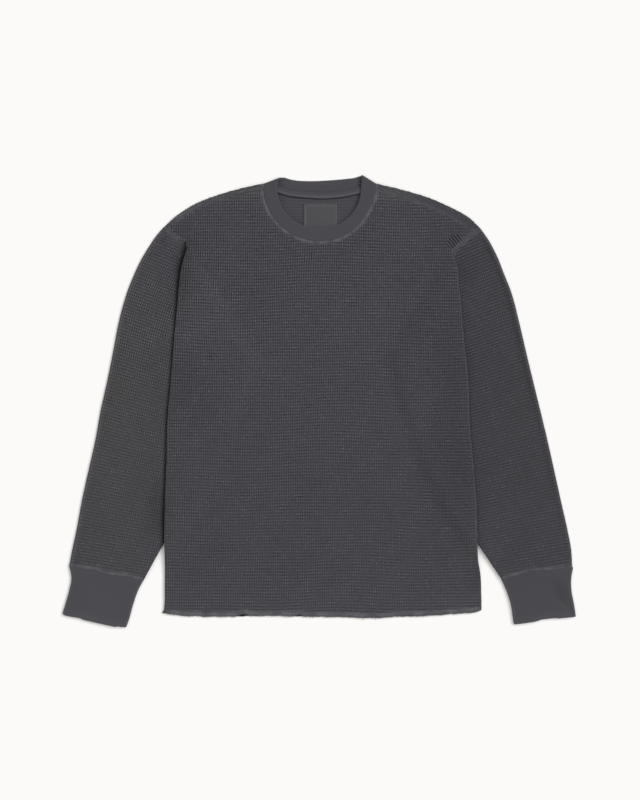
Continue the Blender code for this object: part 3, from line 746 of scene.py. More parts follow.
def trim(points, outline):
    """Cells of a lattice that lie in an outline, with the rim's points moved onto the outline.

    Returns the used points, their lattice numbers, quads, triangles along the rim, which points are on
    the rim, and each used point's distance to the outline with the number of the outline's nearest run.
    """
    rows, columns = points.shape[:2]
    middle = (points[:-1, :-1] + points[1:, :-1] + points[:-1, 1:] + points[1:, 1:]) / 4.0
    keep = inside(middle.reshape(-1, 2), outline).reshape(middle.shape[:2])
    for _ in range(4):
        neighbours = np.sum(four_round(keep), axis=0)
        keep &= neighbours >= 2
        keep |= neighbours >= 4
        a, b, c, d = keep[:-1, :-1], keep[:-1, 1:], keep[1:, :-1], keep[1:, 1:]
        slash, backslash = b & c & ~a & ~d, a & d & ~b & ~c
        keep[:-1, :-1] |= slash
        keep[:-1, 1:] |= backslash
    framed = np.pad(keep, 1).astype(int)
    uses = framed[1:, 1:] + framed[:-1, 1:] + framed[1:, :-1] + framed[:-1, :-1]
    used, rim = uses > 0, (uses > 0) & (uses < 4)
    band = rim
    for _ in range(EDGE_STEPS):
        band = np.any([band, *four_round(band)], axis=0) & used
    r, c = np.nonzero(keep)
    first = r * columns + c
    cells = np.column_stack([first, first + 1, first + columns + 1, first + columns])
    flat = points.reshape(-1, 2).copy()
    far, run = np.full(len(flat), FAR), np.zeros(len(flat), int)
    near = np.flatnonzero(band)
    far[near], run[near], _ = nearest(flat[near], closed(outline))
    order = rim_order(cells, flat)
    flat[order], run[order] = spread_on(flat[order], outline)
    far[order] = 0.0

    number = np.full(rows * columns, -1)
    chosen = np.flatnonzero(used)
    number[chosen] = np.arange(len(chosen))
    rim = rim.ravel()
    cut = rim[cells].any(1)
    corner = far[cells[cut]].argmax(1)
    turned = np.take_along_axis(cells[cut], (corner[:, None] + np.arange(4)) % 4, axis=1)
    triangles = np.vstack([turned[:, [0, 1, 2]], turned[:, [0, 2, 3]]])
    return SimpleNamespace(
        flat=flat[chosen], chosen=chosen, quads=number[cells[~cut]], triangles=number[triangles],
        rim=rim[chosen], far=far[chosen], run=run[chosen])


def lining(rim_points, rim_edges, outline, extra):
    """Points and triangles of a wall's plain side: an even grid within the rim, and any extra points."""
    low, high = outline.min(0), outline.max(0)
    x, y = np.meshgrid(np.arange(low[0], high[0], LINING_GRID), np.arange(low[1], high[1], LINING_GRID))
    x = x + LINING_GRID / 2 * (np.arange(len(x)) % 2)[:, None]
    even = np.column_stack([x.ravel(), y.ravel()])
    ring = evenly(closed(outline), step=9.0)[:-1]
    inwards = LINING_INSET * aside(np.roll(ring, -1, axis=0) - np.roll(ring, 1, axis=0))
    extra = np.asarray(extra, float).reshape(-1, 2)
    if len(extra):
        crowd = np.concatenate([
            ((even[part, None] - extra) ** 2).sum(2).min(1) for part in blocks(len(even), 500)])
        even = even[crowd > (LINING_GRID / 2) ** 2]
    inner = np.vstack([ring - inwards, ring + inwards, extra, even])
    inner = inner[inside(inner, outline)]
    inner = inner[nearest(inner, closed(outline))[0] > LINING_INSET * 0.8]
    points = np.vstack([rim_points, inner])
    flat, _, faces, *_ = delaunay_2d_cdt(points.tolist(), rim_edges.tolist(), [], 1, 1e-5)
    if len(flat) != len(points):
        raise RuntimeError("the rim of a knit wall was merged or crossed")
    return inner, np.array(faces)


def knit_wall(name, lattice, cells, outline, kinds, surface, extra=(), tone=None):
    """A closed wall of waffle knit: a relief lattice on the outer side and a plain inner side.

    surface(flat) gives the middle surface and its outward normal for flat points. The outer side lies
    half a wall out along the normal, with the knit's relief, and rounds over to the rim like a quarter
    of an ellipse. The inner side lies half a wall in and shares the rim's points. tone(middle, normal)
    gives the piece's own painted shade and highlight, and a factor for the knit's gains, where the piece
    needs its own.
    """
    cloth = bpy.context.scene.thermal_top_cloth
    part = trim(lattice, outline)
    here = cells.reshape(-1, 2)[part.chosen]
    middle, normal = surface(part.flat)
    plan = middle[:, :2]
    edge = part.far < FAR
    kind = np.array([list(EDGES).index(k) for k in kinds])[part.run]
    low, roll, swell, swell_at, calm_to, fade, fade_to = np.array(list(EDGES.values()))[kind].T
    arch = np.sqrt(np.clip(1.0 - (1.0 - np.clip(part.far / roll, 0.0, 1.0)) ** 2, 0.0, 1.0))
    arch = np.where(edge, arch, 1.0)
    calm = np.where(edge, smooth(part.far, calm_to * 0.5, calm_to * 1.2 + 0.01), 1.0)
    ridge = np.where(edge, bell(part.far - swell_at, 0.62 * swell_at), 0.0)
    uneven = patches(part.flat, 11, 24.0)
    # gathers, whose pleats are painted shadow lines
    gathered, pleat_shadow_look = pleats(plan)
    # uneven dye, with painted highlights and shade
    shade, grey = wash_and_painted_light(plan)
    own_shade, own_gain = tone(middle, normal) if tone else (1.0, 1.0)
    calm = calm * (1.0 - gathered)
    gains = knit_gains(plan, len(name)) * (calm * own_gain)[:, None]
    chance = np.random.default_rng(len(name))
    specks = np.clip(chance.exponential(0.5, len(here)), 0.0, 2.0) * (0.3 + patches(plan, 17, 34.0))
    relief = cloth.relief / MM * np.clip(own_gain, 0.6, 1.0) * calm * (
        knit_relief(here, 0.45 + gains) * chance.uniform(0.88, 1.06, len(here)) - 0.66)
    swell = swell * ridge * (0.6 + 0.6 * uneven)
    outer = middle + normal * (low + (WAFFLE_WALL / 2 - low) * arch + (relief + swell) * arch)[:, None]
    outer[:, 2] = np.maximum(outer[:, 2], 0.0)
    wear = fade * (1.0 - smooth(part.far / fade_to, 0.5, 1.3)) * (0.5 + 0.7 * uneven)
    at_hem = edge & (kind == list(EDGES).index("hem"))
    line = 0.45 * bell(part.far - 6.6, 1.1) * smooth(plan[:, 0], -40.0, 60.0)
    wear = np.where(at_hem, wear * table_at(HEM_FADE, plan[:, 0]) + line, wear)

    rim = np.flatnonzero(part.rim)
    order = np.full(len(part.flat), -1)
    order[rim] = np.arange(len(rim))
    sides = np.vstack([part.quads[:, [i, (i + 1) % 4]] for i in range(4)]
                      + [part.triangles[:, [i, (i + 1) % 3]] for i in range(3)])
    sides.sort(axis=1)
    pairs, shared = np.unique(sides, axis=0, return_counts=True)
    inner, faces = lining(part.flat[rim], order[pairs[shared == 1]], outline, extra)
    numbers = np.concatenate([rim, len(outer) + np.arange(len(inner))])
    behind, outwards = surface(inner)
    behind = behind - outwards * WAFFLE_WALL / 2
    inner_shade, inner_gain = tone(behind, -outwards) if tone else (1.0, 1.0)
    none = np.zeros(len(inner))
    inner_knit = np.column_stack([inner / (cloth.column / MM, cloth.row / MM), none])
    inner_look = np.column_stack([none + 0.04 * inner_gain, none + 0.12 * inner_gain, none + inner_shade])
    attributes = {
        "knit": np.vstack([np.column_stack([here, grey]), inner_knit]),
        "gain": np.vstack([np.column_stack([gains, shade * own_shade]), inner_look]),
        "pleats": np.vstack([pleat_shadow_look, np.zeros((len(inner), 2))]),
        "wear": np.concatenate([wear, none]),
        "specks": np.concatenate([calm * own_gain * specks, none]),
    }
    return np.vstack([outer, behind]), part.quads, part.triangles, numbers[faces], attributes


def volume(points, triangles):
    """Volume in a closed mesh: a sixth of the sum of its triangles' triple products."""
    a, b, c = (points[triangles[:, i]] for i in range(3))
    return (a * np.cross(b, c)).sum() / 6.0


def mesh_object(name, points, faces, material, attributes):
    """An object at the origin from points in millimetres in table coordinates and lists of faces."""
    place = np.asarray(points, float).copy()
    place[:, :2] += SHIFT
    mesh = bpy.data.meshes.new(name)
    mesh.from_pydata((place * MM).tolist(), [], [face for group in faces for face in group.tolist()])
    mesh.shade_smooth()
    mesh.set_sharp_from_angle(angle=np.radians(SHARP_FACES))
    for key, values in attributes.items():
        values = np.asarray(values, np.float32)
        kind, member = ("FLOAT", "value") if values.ndim == 1 else ("FLOAT_VECTOR", "vector")
        if values.ndim > 1:
            values = np.pad(values, ((0, 0), (0, 3 - values.shape[1])))
        mesh.attributes.new(key, kind, "POINT").data.foreach_set(member, values.ravel())
    mesh.materials.append(material)
    mesh.update()
    piece = bpy.data.objects.new(name, mesh)
    bpy.context.scene.collection.objects.link(piece)
    return piece


def wall_object(name, wall, outwards, material):
    """The mesh of a knit wall, whose outer side's cells are turned to face outwards.

    outwards is 1 where the lattice already faces out and -1 where its cells are to be turned.
    """
    points, quads, triangles, inner, attributes = wall
    step = slice(None, None, outwards)
    faces = [quads[:, step], triangles[:, step], inner[:, ::-outwards]]
    flat = np.vstack([faces[0][:, [0, 1, 2]], faces[0][:, [0, 2, 3]], faces[1], faces[2]])
    if volume(points, flat) < 0.0:
        raise RuntimeError(f"{name} is inside out")
    return mesh_object(name, points, faces, material, attributes)


# ---- materials

def node(tree, kind, settings=None, **inputs):
    """Adds a shader node, sets its options, and links or sets its inputs by name or by number."""
    made = tree.nodes.new(kind)
    for key, value in (settings or {}).items():
        setattr(made, key, value)
    for key, value in inputs.items():
        socket = made.inputs[int(key[1:])] if key[0] == "i" and key[1:].isdigit() else made.inputs[
            key.replace("_", " ")]
        if isinstance(value, bpy.types.NodeSocket):
            tree.links.new(value, socket)
        else:
            socket.default_value = value
    return made


def maths(tree, operation, *values):
    """A Math node's result."""
    inputs = {f"i{n}": value for n, value in enumerate(values)}
    return node(tree, "ShaderNodeMath", {"operation": operation}, **inputs).outputs[0]


def blend_colour(tree, share, low, high, blend="MIX"):
    """A colour mixed by share; low and high are colours or sockets."""
    low, high = ((*value, 1.0) if isinstance(value, tuple) else value for value in (low, high))
    options = {"data_type": "RGBA", "blend_type": blend}
    return node(tree, "ShaderNodeMix", options, i0=share, i6=low, i7=high).outputs[2]


def scaled(colour, factor):
    """A brighter or darker colour."""
    return tuple(min(1.0, part * factor) for part in colour)


def new_material(name, roughness, specular, sheen=0.0):
    """A material with its shader's even values set, and its node tree."""
    material = bpy.data.materials.new(name)
    material.use_nodes = True
    shader = material.node_tree.nodes["Principled BSDF"]
    shader.inputs["Roughness"].default_value = roughness
    shader.inputs["Specular IOR Level"].default_value = specular
    shader.inputs["Sheen Weight"].default_value = sheen
    shader.inputs["Sheen Roughness"].default_value = 0.5
    return material, material.node_tree


def dressed(material, colour, height, strength, depth):
    """The material with its colour and its bump linked; depth is in metres."""
    tree = material.node_tree
    shader = tree.nodes["Principled BSDF"]
    bump = node(tree, "ShaderNodeBump", None, Strength=strength, Distance=depth, Height=height)
    tree.links.new(colour, shader.inputs["Base Color"])
    tree.links.new(bump.outputs[0], shader.inputs["Normal"])
    return material


def attribute(tree, name, output="Fac"):
    """An attribute of the mesh, as a number or as a vector."""
    return node(tree, "ShaderNodeAttribute", {"attribute_name": name}).outputs[output]


def toned(tree, colour, *factors):
    """A colour dimmed by the product of the factors."""
    shade = factors[0]
    for factor in factors[1:]:
        shade = maths(tree, "MULTIPLY", shade, factor)
    grey = node(tree, "ShaderNodeCombineColor", None, Red=shade, Green=shade, Blue=shade).outputs[0]
    return blend_colour(tree, 1.0, colour, grey, "MULTIPLY")


def paled(tree, colour, faded, unevenly):
    """A colour that gives way to the faded one by the wear attribute times an uneven factor."""
    worn = maths(tree, "MULTIPLY", attribute(tree, "wear"), unevenly)
    return blend_colour(tree, maths(tree, "MINIMUM", worn, 1.0), colour, faded)


def own_place(tree):
    """The piece's own coordinates."""
    made = tree.nodes.get("Texture Coordinate") or node(tree, "ShaderNodeTexCoord")
    return made.outputs["Object"]


def noise(tree, size, low, high, detail=3.0):
    """Noise of a size in metres, stretched to run from low to high."""
    place = own_place(tree)
    made = node(tree, "ShaderNodeTexNoise", None, Vector=place, Scale=1.0 / size, Detail=detail)
    return maths(tree, "MULTIPLY_ADD", made.outputs["Fac"], high - low, low)


def parts_of(tree, name):
    """The three parts of a vector attribute."""
    return node(tree, "ShaderNodeSeparateXYZ", None, Vector=attribute(tree, name, "Vector")).outputs


def waffle_material():
    """Waffle knit: ridges paler from the wash, painted shade in the darker pits, yarn loops, washed seams,
    fuzz and slow colour changes.
    """
    cloth = bpy.context.scene.thermal_top_cloth
    base = tuple(cloth.waffle_colour)
    material, tree = new_material("washed waffle knit", 0.94, 0.2, 0.06)
    knit, gain, pleat = (parts_of(tree, name) for name in ("knit", "gain", "pleats"))
    turns = [maths(tree, "MULTIPLY", knit[i], 2.0 * np.pi) for i in range(2)]
    swings = [maths(tree, "COSINE", turn) for turn in turns]
    # ridges partly paler from the wash, with painted shade in the pits between them
    waves = [maths(tree, "MULTIPLY", swings[i], gain[i]) for i in range(2)]
    crossing = maths(tree, "MULTIPLY", *(maths(tree, "MAXIMUM", swing, 0.0) for swing in swings))
    dots = maths(tree, "MULTIPLY_ADD", crossing, attribute(tree, "specks"), 0.95)
    # painted shadow lines between the gathers' pleats
    lines = maths(tree, "ADD", maths(tree, "COSINE", maths(tree, "MULTIPLY", pleat[0], 2.0 * np.pi)), 0.25)
    dots = maths(tree, "SUBTRACT", dots, maths(tree, "MULTIPLY", lines, pleat[1]))
    ridge = maths(tree, "MAXIMUM", maths(tree, "ADD", maths(tree, "ADD", *waves), dots), 0.15)
    grain = noise(tree, 0.0016, 0.74, 1.26)
    flecks = noise(tree, 0.0048, 0.84, 1.16, 2.0)
    slow = noise(tree, 0.11, 0.93, 1.07)
    colour = blend_colour(tree, knit[2], base, (base[0] * 1.04, base[1] * 1.04, base[2] * 0.93))
    colour = toned(tree, colour, ridge, gain[2], slow, grain, flecks)
    faded = toned(tree, tuple(cloth.faded_colour), gain[2], grain)
    colour = paled(tree, colour, faded, noise(tree, 0.0042, 0.2, 1.6, 2.0))
    loops = [maths(tree, "SINE", maths(tree, "MULTIPLY", turn, 3.0)) for turn in turns]
    fine = maths(tree, "ADD", maths(tree, "MULTIPLY", maths(tree, "MULTIPLY", *loops), 0.35), grain)
    return dressed(material, colour, fine, 0.5, 0.0005)


def rib_material():
    """Rib knit: fine ribs with painted shade in the slightly darker grooves, on a soft washed surface."""
    cloth = bpy.context.scene.thermal_top_cloth
    base = tuple(cloth.rib_colour)
    material, tree = new_material("washed rib knit", 0.9, 0.22, 0.1)
    knit, gain = parts_of(tree, "knit"), parts_of(tree, "gain")
    across, along = (maths(tree, "MULTIPLY", knit[i], 2.0 * np.pi) for i in range(2))
    # painted shade in the grooves between the ribs
    wave = maths(tree, "MULTIPLY_ADD", maths(tree, "COSINE", across), 0.5, 0.5)
    grain = noise(tree, 0.0014, 0.92, 1.08)
    colour = blend_colour(tree, wave, scaled(base, 0.93), scaled(base, 1.05))
    colour = toned(tree, colour, gain[2], noise(tree, 0.07, 0.95, 1.05), grain)
    colour = paled(tree, colour, tuple(cloth.faded_colour), noise(tree, 0.004, 0.3, 1.5))
    fine = maths(tree, "ADD", maths(tree, "MULTIPLY", maths(tree, "SINE", along), 0.2), grain)
    return dressed(material, colour, fine, 0.3, 0.0003)


def thread_material():
    """Sewing thread: a twisted matt yarn, a little paler than the cloth and worn unevenly."""
    base = tuple(bpy.context.scene.thermal_top_cloth.thread_colour)
    material, tree = new_material("washed thread", 0.8, 0.3, 0.1)
    grain = noise(tree, 0.0011, 0.75, 1.25, 2.0)
    colour = blend_colour(tree, attribute(tree, "wear"), scaled(base, 0.45), scaled(base, 1.3))
    return dressed(material, toned(tree, colour, grain), grain, 0.4, 0.0002)


def label_material():
    """Woven satin label: fine crosswise weave, a soft gloss and a pale woven border line."""
    base = tuple(bpy.context.scene.thermal_top_cloth.label_colour)
    material, tree = new_material("woven satin", 0.46, 0.5, 0.2)
    weave = node(tree, "ShaderNodeTexWave", {"wave_type": "BANDS", "bands_direction": "Y"},
                 Vector=own_place(tree), Scale=420.0, Distortion=0.6, Detail=1.0).outputs["Fac"]
    grain = noise(tree, 1.0 / 800.0, 0.0, 1.0, 2.0)
    colour = blend_colour(tree, grain, scaled(base, 0.85), scaled(base, 1.2))
    border = maths(tree, "MULTIPLY", attribute(tree, "wear"), 0.25)
    return dressed(material, blend_colour(tree, border, colour, (0.22, 0.225, 0.23)), weave, 0.25, 0.0002)


def floor_material():
    """Plain pale matt surface."""
    material, tree = new_material("pale surface", 0.9, 0.1)
    colour = bpy.context.scene.thermal_top_stage.floor_colour
    tree.nodes["Principled BSDF"].inputs["Base Color"].default_value = (*colour, 1.0)
    return material


MATERIALS = {
    "waffle": waffle_material,
    "rib": rib_material,
    "thread": thread_material,
    "label": label_material,
}
made_materials = {}


def finish(name):
    """The material of that name, made once."""
    if name not in made_materials:
        made_materials[name] = MATERIALS[name]()
    return made_materials[name]


# ---- body

def shoulder(side):
    """Plan of one shoulder: fold line, forward seam and the turning line of the fold."""
    fold, seam = (curve(points, count=60) for points in (side.shoulder_fold, side.shoulder_seam))
    heading = unit(seam - fold)
    radius = (front_middle(seam) - WAFFLE_WALL / 2) / 2
    turn = fold + heading * (radius + WAFFLE_WALL / 2)[:, None]
    strip = np.linalg.norm(seam - turn, axis=1)
    return SimpleNamespace(seam=seam, heading=heading, radius=radius, turn=turn, strip=strip)


def lay(parts):
    """One outline from named stretches, with the kind of edge of each of its runs."""
    outline = np.vstack([line for _, line in parts])
    kinds = [kind for kind, line in parts for _ in range(len(line))]
    keep = np.linalg.norm(outline - np.roll(outline, -1, axis=0), axis=1) > 0.05
    return outline[keep], [kind for kind, kept in zip(kinds, keep) if kept]


def knit_lattice(outline):
    """Half-cell lattice of the knit over an outline, and its cell numbers."""
    cloth = bpy.context.scene.thermal_top_cloth
    step = np.array((cloth.column, cloth.row)) / MM / 2
    low = np.floor(outline.min(0) / step) - LATTICE_MARGIN
    high = np.ceil(outline.max(0) / step) + LATTICE_MARGIN
    halves = np.dstack(np.meshgrid(np.arange(low[0], high[0] + 1), np.arange(low[1], high[1] + 1)))
    return halves * step, halves / 2.0


def body_lattice(outline):
    """The body's lattice, gently warped by slanted sines, and its cell numbers."""
    lattice, cells = knit_lattice(outline)
    x, y = np.moveaxis(lattice, 2, 0).copy()
    warp_x = 1.1 * np.sin(y / 41.0 + 0.6) + 0.8 * np.sin((x + y) / 33.0)
    warp_y = 1.4 * np.sin(x / 52.0 + 1.0) + 0.8 * np.sin((x - 0.6 * y) / 29.0)
    return np.dstack([x + warp_x, y + warp_y]), cells


def hem_line(nicks, jitter):
    """The raw hem from right to left with small nicks: each a bell-shaped notch of its own depth."""
    line = curve(HEM, step=2.4)
    rise = jitter * (patches(line, 21, 7.0) + patches(line, 22, 31.0) - 1.0)
    for x, depth, width in nicks:
        rise += depth * bell(line[:, 0] - x, width)
    line[:, 1] += rise * smooth(np.abs(line[:, 0] - 5.0), 265.0, 240.0)
    return line


FRONT_NICKS = (            # x, depth, width
    (-201, 0.6, 6), (-188, -0.6, 4), (-125, 3.8, 9), (-106, 0.8, 5),
    (-62, 0.6, 6), (-34, 3.4, 6.5), (48, 0.6, 5), (97, -0.5, 6),
    (140, 0.7, 6), (214, 0.6, 5))
BACK_NICKS = ((-150, 0.8, 9), (-40, 0.6, 9), (70, 0.9, 12), (190, 0.7, 9))


def front_outline():
    """Cut of the front: hem, sides, armholes, forward shoulder seams and the front neckline."""
    right, left = shoulder(RIGHT), shoulder(LEFT)
    start, end = (np.degrees(np.arctan2(*(plan.seam[0] - NECK_SEAM_CENTRE)[::-1])) % 360.0
                  for plan in (right, left))
    turn = np.radians(np.linspace(end if end > start else end + 360.0, start, 160))
    neckline = neck_ring(turn, -NECK_OVERLAP * np.sin(np.pi * np.linspace(0.0, 1.0, 160)) ** 0.3)
    left_side = beaded(LEFT.side_edge)[::-1]
    split = int((left_side[:, 1] < LEFT.upper_notch[-1][1]).sum())
    return lay([
        ("hem", hem_line(FRONT_NICKS, 0.6)),
        ("side", left_side[:split]),
        ("level", left_side[split:]),
        ("armhole", front_armhole(LEFT)[::-1]),
        ("shoulder", left.seam[::-1]),
        ("neck", neckline),
        ("shoulder", right.seam),
        ("armhole", front_armhole(RIGHT)),
        ("side", beaded(RIGHT.side_edge))])


def neck_ring(turn, away):
    """The front neck seam at angles in radians, moved outwards."""
    radius = NECK_SEAM_RADIUS + away - table_at(NECK_SEAM_INSET, np.degrees(turn) % 360.0)
    return NECK_SEAM_CENTRE + radius[:, None] * polar(turn)


def beaded(table):
    """A side edge whose line goes in and out a little from row to row of the knit."""
    line = curve(table, step=1.2)
    row = bpy.context.scene.thermal_top_cloth.row / MM
    away = BEADS * np.cos(2.0 * np.pi * line[:, 1] / row) * (0.5 + patches(line, 31, 30.0))
    return beside(line, (away * smooth(line[:, 1], -345.0, -335.0))[:, None])


def front_armhole(side):
    """The front's armhole, which starts at the forward shoulder seam instead of the fold."""
    return evenly((side.shoulder_seam[-1],) + side.armhole[1:], step=3.0)


def unevenness(flat):
    """Height of the body's folds and waves, which die down at the neckband and at the sleeves."""
    height = folds(flat, BODY_FOLDS) + slow_waves(flat)
    height *= smooth(np.abs(np.linalg.norm(flat - NECK_SEAM_CENTRE, axis=1) - NECK_SEAM_RADIUS), 0.0, 14.0)
    for side in SIDES:
        height *= smooth(gap_to(flat, side.armhole, 16.0), 0.0, 14.0)
    return height + folds(flat, ARMHOLE_FOLDS)


def front_surface(flat):
    """Middle surface of the front, with its soft folds, and its upward normal."""
    return (np.column_stack([flat, front_middle(flat) + unevenness(flat)]),
            np.tile((0.0, 0.0, 1.0), (len(flat), 1)))


def back_outline():
    """Cut of the back, unfolded: its shoulders reach on past the turning lines by the forward strips."""
    right, left = shoulder(RIGHT), shoulder(LEFT)
    for plan in (right, left):
        plan.reach = plan.turn - plan.heading * (np.pi * plan.radius + plan.strip)[:, None]
    return lay([
        ("hem", hem_line(BACK_NICKS, 0.9)),
        ("side", curve(LEFT.side_edge, step=3.0)[::-1]),
        ("armhole", evenly(LEFT.armhole, step=3.0)[::-1][:-1]),
        ("armhole", evenly([left.turn[-1], left.reach[-1]], step=3.0)),
        ("shoulder", left.reach[::-1]),
        ("neck", evenly([left.reach[0], left.turn[0]], step=3.0)),
        ("neck", curve(BACK_NECK_SEAM, step=3.0)[::-1]),
        ("neck", evenly([right.turn[0], right.reach[0]], step=3.0)),
        ("shoulder", right.reach),
        ("armhole", evenly([right.reach[-1], right.turn[-1]], step=3.0)),
        ("armhole", evenly(RIGHT.armhole, step=3.0)[1:]),
        ("side", curve(RIGHT.side_edge, step=3.0))])


def back_surface(flat):
    """Middle surface of the back and its outward normal: level below the front, folded at the shoulders.

    A point d beyond the turning line lies at angle d / radius on the half circle of the fold, and past
    the half circle it lies level on top, coming back over the panel.
    """
    points = np.column_stack([flat, back_middle(flat)])
    normal = np.tile((0.0, 0.0, -1.0), (len(flat), 1))
    for side in SIDES:
        plan = shoulder(side)
        beyond = np.flatnonzero((flat[:, 0] * side.sign > 60.0) & (flat[:, 1] > 250.0))
        if not len(beyond):
            continue
        far, run, spot = nearest(flat[beyond], plan.turn)
        away = ((flat[beyond] - spot) * -plan.heading[run]).sum(1)
        over = (away > 0.0) & (far > 1e-6)
        beyond, far, run, spot = beyond[over], far[over], run[over], spot[over]
        heading = (flat[beyond] - spot) / far[:, None]
        radius = plan.radius[run]
        angle = np.minimum(far / radius, np.pi)
        out = radius * np.sin(angle) - (far - angle * radius)
        points[beyond, :2] = spot + heading * out[:, None]
        points[beyond, 2] = WAFFLE_WALL / 2 + radius * (1.0 - np.cos(angle)) + (
            unevenness(points[beyond, :2]) * smooth(angle, np.pi / 2, np.pi))
        normal[beyond, :2] = heading * np.sin(angle)[:, None]
        normal[beyond, 2] = -np.cos(angle)
    return points, normal


def back_painted_shade(place, normal):
    """The back's own shade: a painted shadow line where the tape stands off its inside, painted shade
    inside the front's deep hem nicks, the inside of the neck paler, and calm shoulder strips.
    """
    plan = place[:, :2]
    inside_neck = np.linalg.norm(plan - NECK_SEAM_CENTRE, axis=1) < NECK_SEAM_RADIUS
    # painted shadow under the tape's lower edge
    under_tape = np.where(inside_neck, gap_to(plan, beside(curve(TAPE_EDGE, step=3.0), -0.7), 6.0), 6.0)
    shade = 1.0 - 0.85 * bell(under_tape, 1.0)
    # painted shade on the back's hem inside the front's deep nicks
    for x, depth, width in FRONT_NICKS:
        notch = np.exp(-((plan[:, 0] - x) / width) ** 4) * (plan[:, 1] < -345.0)
        shade -= 0.4 * max(depth - 1.0, 0.0) * notch
    shade = np.maximum(shade, 0.15) + 0.14 * inside_neck
    return shade, np.where(normal[:, 2] > 0.0, np.where(inside_neck, 1.0, 0.45), 1.0)


# ---- sleeves

def sleeve_plan(side):
    """Where each knit row of a sleeve starts on its outer edge, and the direction in which it runs in."""
    line = curve(side.sleeve_outer, step=2.0)
    reach = 80.0
    line = np.vstack([line[0] + unit(line[0] - line[1]) * reach, line,
                      line[-1] + unit(line[-1] - line[-4]) * reach])
    run = lengths(line) - reach
    lean = np.radians(np.interp(run, (0.0, run[-1] - reach), ROW_LEAN))
    heading = np.column_stack([-side.sign * np.cos(lean), -np.sin(lean)])
    return SimpleNamespace(run=run, line=line, heading=heading, length=run[-1] - reach)


def sleeve_place(plan, run_in, down):
    """Plan position of points given by their distance in along a row and the row's place down the edge."""
    return between(down, plan.run, plan.line) + run_in[:, None] * between(down, plan.run, plan.heading)


def sleeve_find(plan, points):
    """The inverse: distance in and place down of plan points, from the row whose line passes each point."""
    down = np.linspace(plan.run[0], plan.run[-1], 1600)
    start = sleeve_place(plan, np.zeros(len(down)), down)
    heading = sleeve_place(plan, np.ones(len(down)), down) - start
    offset = points[:, None] - start
    side = offset[..., 0] * heading[:, 1] - offset[..., 1] * heading[:, 0]
    change = np.signbit(side[:, 1:]) != np.signbit(side[:, :-1])
    k = change.argmax(1)
    rows = np.arange(len(points))
    share = side[rows, k] / (side[rows, k] - side[rows, k + 1])
    found = down[k] + share * (down[1] - down[0])
    run_in = np.linalg.norm(points - sleeve_place(plan, np.zeros(len(found)), found), axis=1)
    return np.column_stack([run_in, found])


def sleeve_outline(side, plan):
    """Cut of a sleeve, unfolded: the upper layer at positive and the lower at negative distances in."""
    radius = (SLEEVE_HEIGHT - WAFFLE_WALL) / 2
    spare = np.pi / 2 * radius - radius - WAFFLE_WALL / 2
    armhole = evenly(side.armhole, step=3.0)
    under = np.array([side.underarm])
    inner = curve(side.sleeve_inner, step=4.0)
    end = evenly([side.sleeve_inner[-1], side.sleeve_outer[-1]], step=4.0)
    end[:, 1] += bow(side.wrist_bow, np.linspace(1.0, 0.0, len(end)))
    upper, lower = (np.array(points) for points in (side.upper_notch, side.lower_notch))

    def unfold(kind, points, layer):
        """A stretch of edge laid out flat, with the cloth that the turn round the outer edge takes."""
        found = sleeve_find(plan, points)
        found[:, 0] = np.maximum(found[:, 0] + spare * smooth(found[:, 0], 0.0, 2.5), 0.0) * layer
        return kind, found

    return lay([
        unfold("armhole", armhole, 1.0),
        unfold("level" if side is LEFT else "under",
               evenly(np.vstack([armhole[-1:], upper]), step=3.0), 1.0),
        unfold("under", evenly(np.vstack([upper[-1:], under]), step=4.0), 1.0),
        unfold("under", inner, 1.0),
        unfold("cuff", end, 1.0),
        unfold("cuff", end[::-1], -1.0),
        unfold("under", inner[::-1], -1.0),
        unfold("under", evenly(np.vstack([armhole[-1:], lower, under])[::-1], step=4.0), -1.0),
        unfold("armhole", armhole[::-1], -1.0)])


def sleeve_surface(side, plan):
    """The middle surface of a laid sleeve as a function of its unfolded points.

    The cloth turns round the outer edge on a half circle, and both layers lie level behind it.
    """
    radius = (SLEEVE_HEIGHT - WAFFLE_WALL) / 2
    quarter = np.pi / 2 * radius
    body_edge, outer_edge = curve(side.side_edge, step=6.0), curve(side.sleeve_outer, step=8.0)
    body_plan = front_outline()[0]

    def surface(flat):
        angle = np.clip(flat[:, 0], -quarter, quarter) / radius
        rest = np.abs(flat[:, 0]) - np.abs(angle) * radius
        run_in = WAFFLE_WALL / 2 + radius * (1.0 - np.cos(angle)) + rest
        place = sleeve_place(plan, run_in, flat[:, 1])
        z = SLEEVE_HEIGHT / 2 + radius * np.sin(angle)
        row = sleeve_place(plan, run_in + 1.0, flat[:, 1]) - place
        normal = np.column_stack([-row * np.cos(angle)[:, None], np.sin(angle)])
        seen = np.column_stack([run_in, flat[:, 1]])
        crown = smooth(gap_to(place, outer_edge, 60.0), 4.0, 45.0)
        cloth = folds(seen, SLEEVE_FOLDS[side.name]) + slow_waves(place) + 0.9 * crown
        cloth = cloth * smooth(gap_to(place, side.armhole, 16.0), 0.0, 14.0) + folds(place, ARMHOLE_FOLDS)
        edge = gap_to(place, body_edge, 30.0)
        under_body = inside(place, body_plan)
        open_share = np.where(under_body, 0.0, smooth(edge, 2.0, 14.0))
        upper = z + cloth * open_share * smooth(run_in, 2.0, 18.0) - tuck(place, side, edge, under_body)
        z = np.where(flat[:, 0] > 0.0, np.maximum(upper, SLEEVE_HEIGHT / 2), z)
        return np.column_stack([place, z]), normal

    return surface


def bow(table, share):
    """Rise of a bowed line at shares of its length."""
    return table_at(curve(table, count=200), share)


def tuck(place, side, edge, under_body):
    """Depth of the crevice where the sleeve dives under the body's side."""
    if side is LEFT:
        return 0.35 * (1.0 - smooth(edge, 0.0, 5.0)) * ~under_body
    reach = smooth(place[:, 1], -262.0, -180.0) * (1.0 - smooth(place[:, 1], 252.0, 262.0))
    deep = 1.2 + 1.2 * smooth(place[:, 1], 120.0, 200.0)
    return deep * reach * (1.0 - smooth(edge, 1.5, 10.0 + 12.0 * smooth(place[:, 1], 150.0, 230.0)))


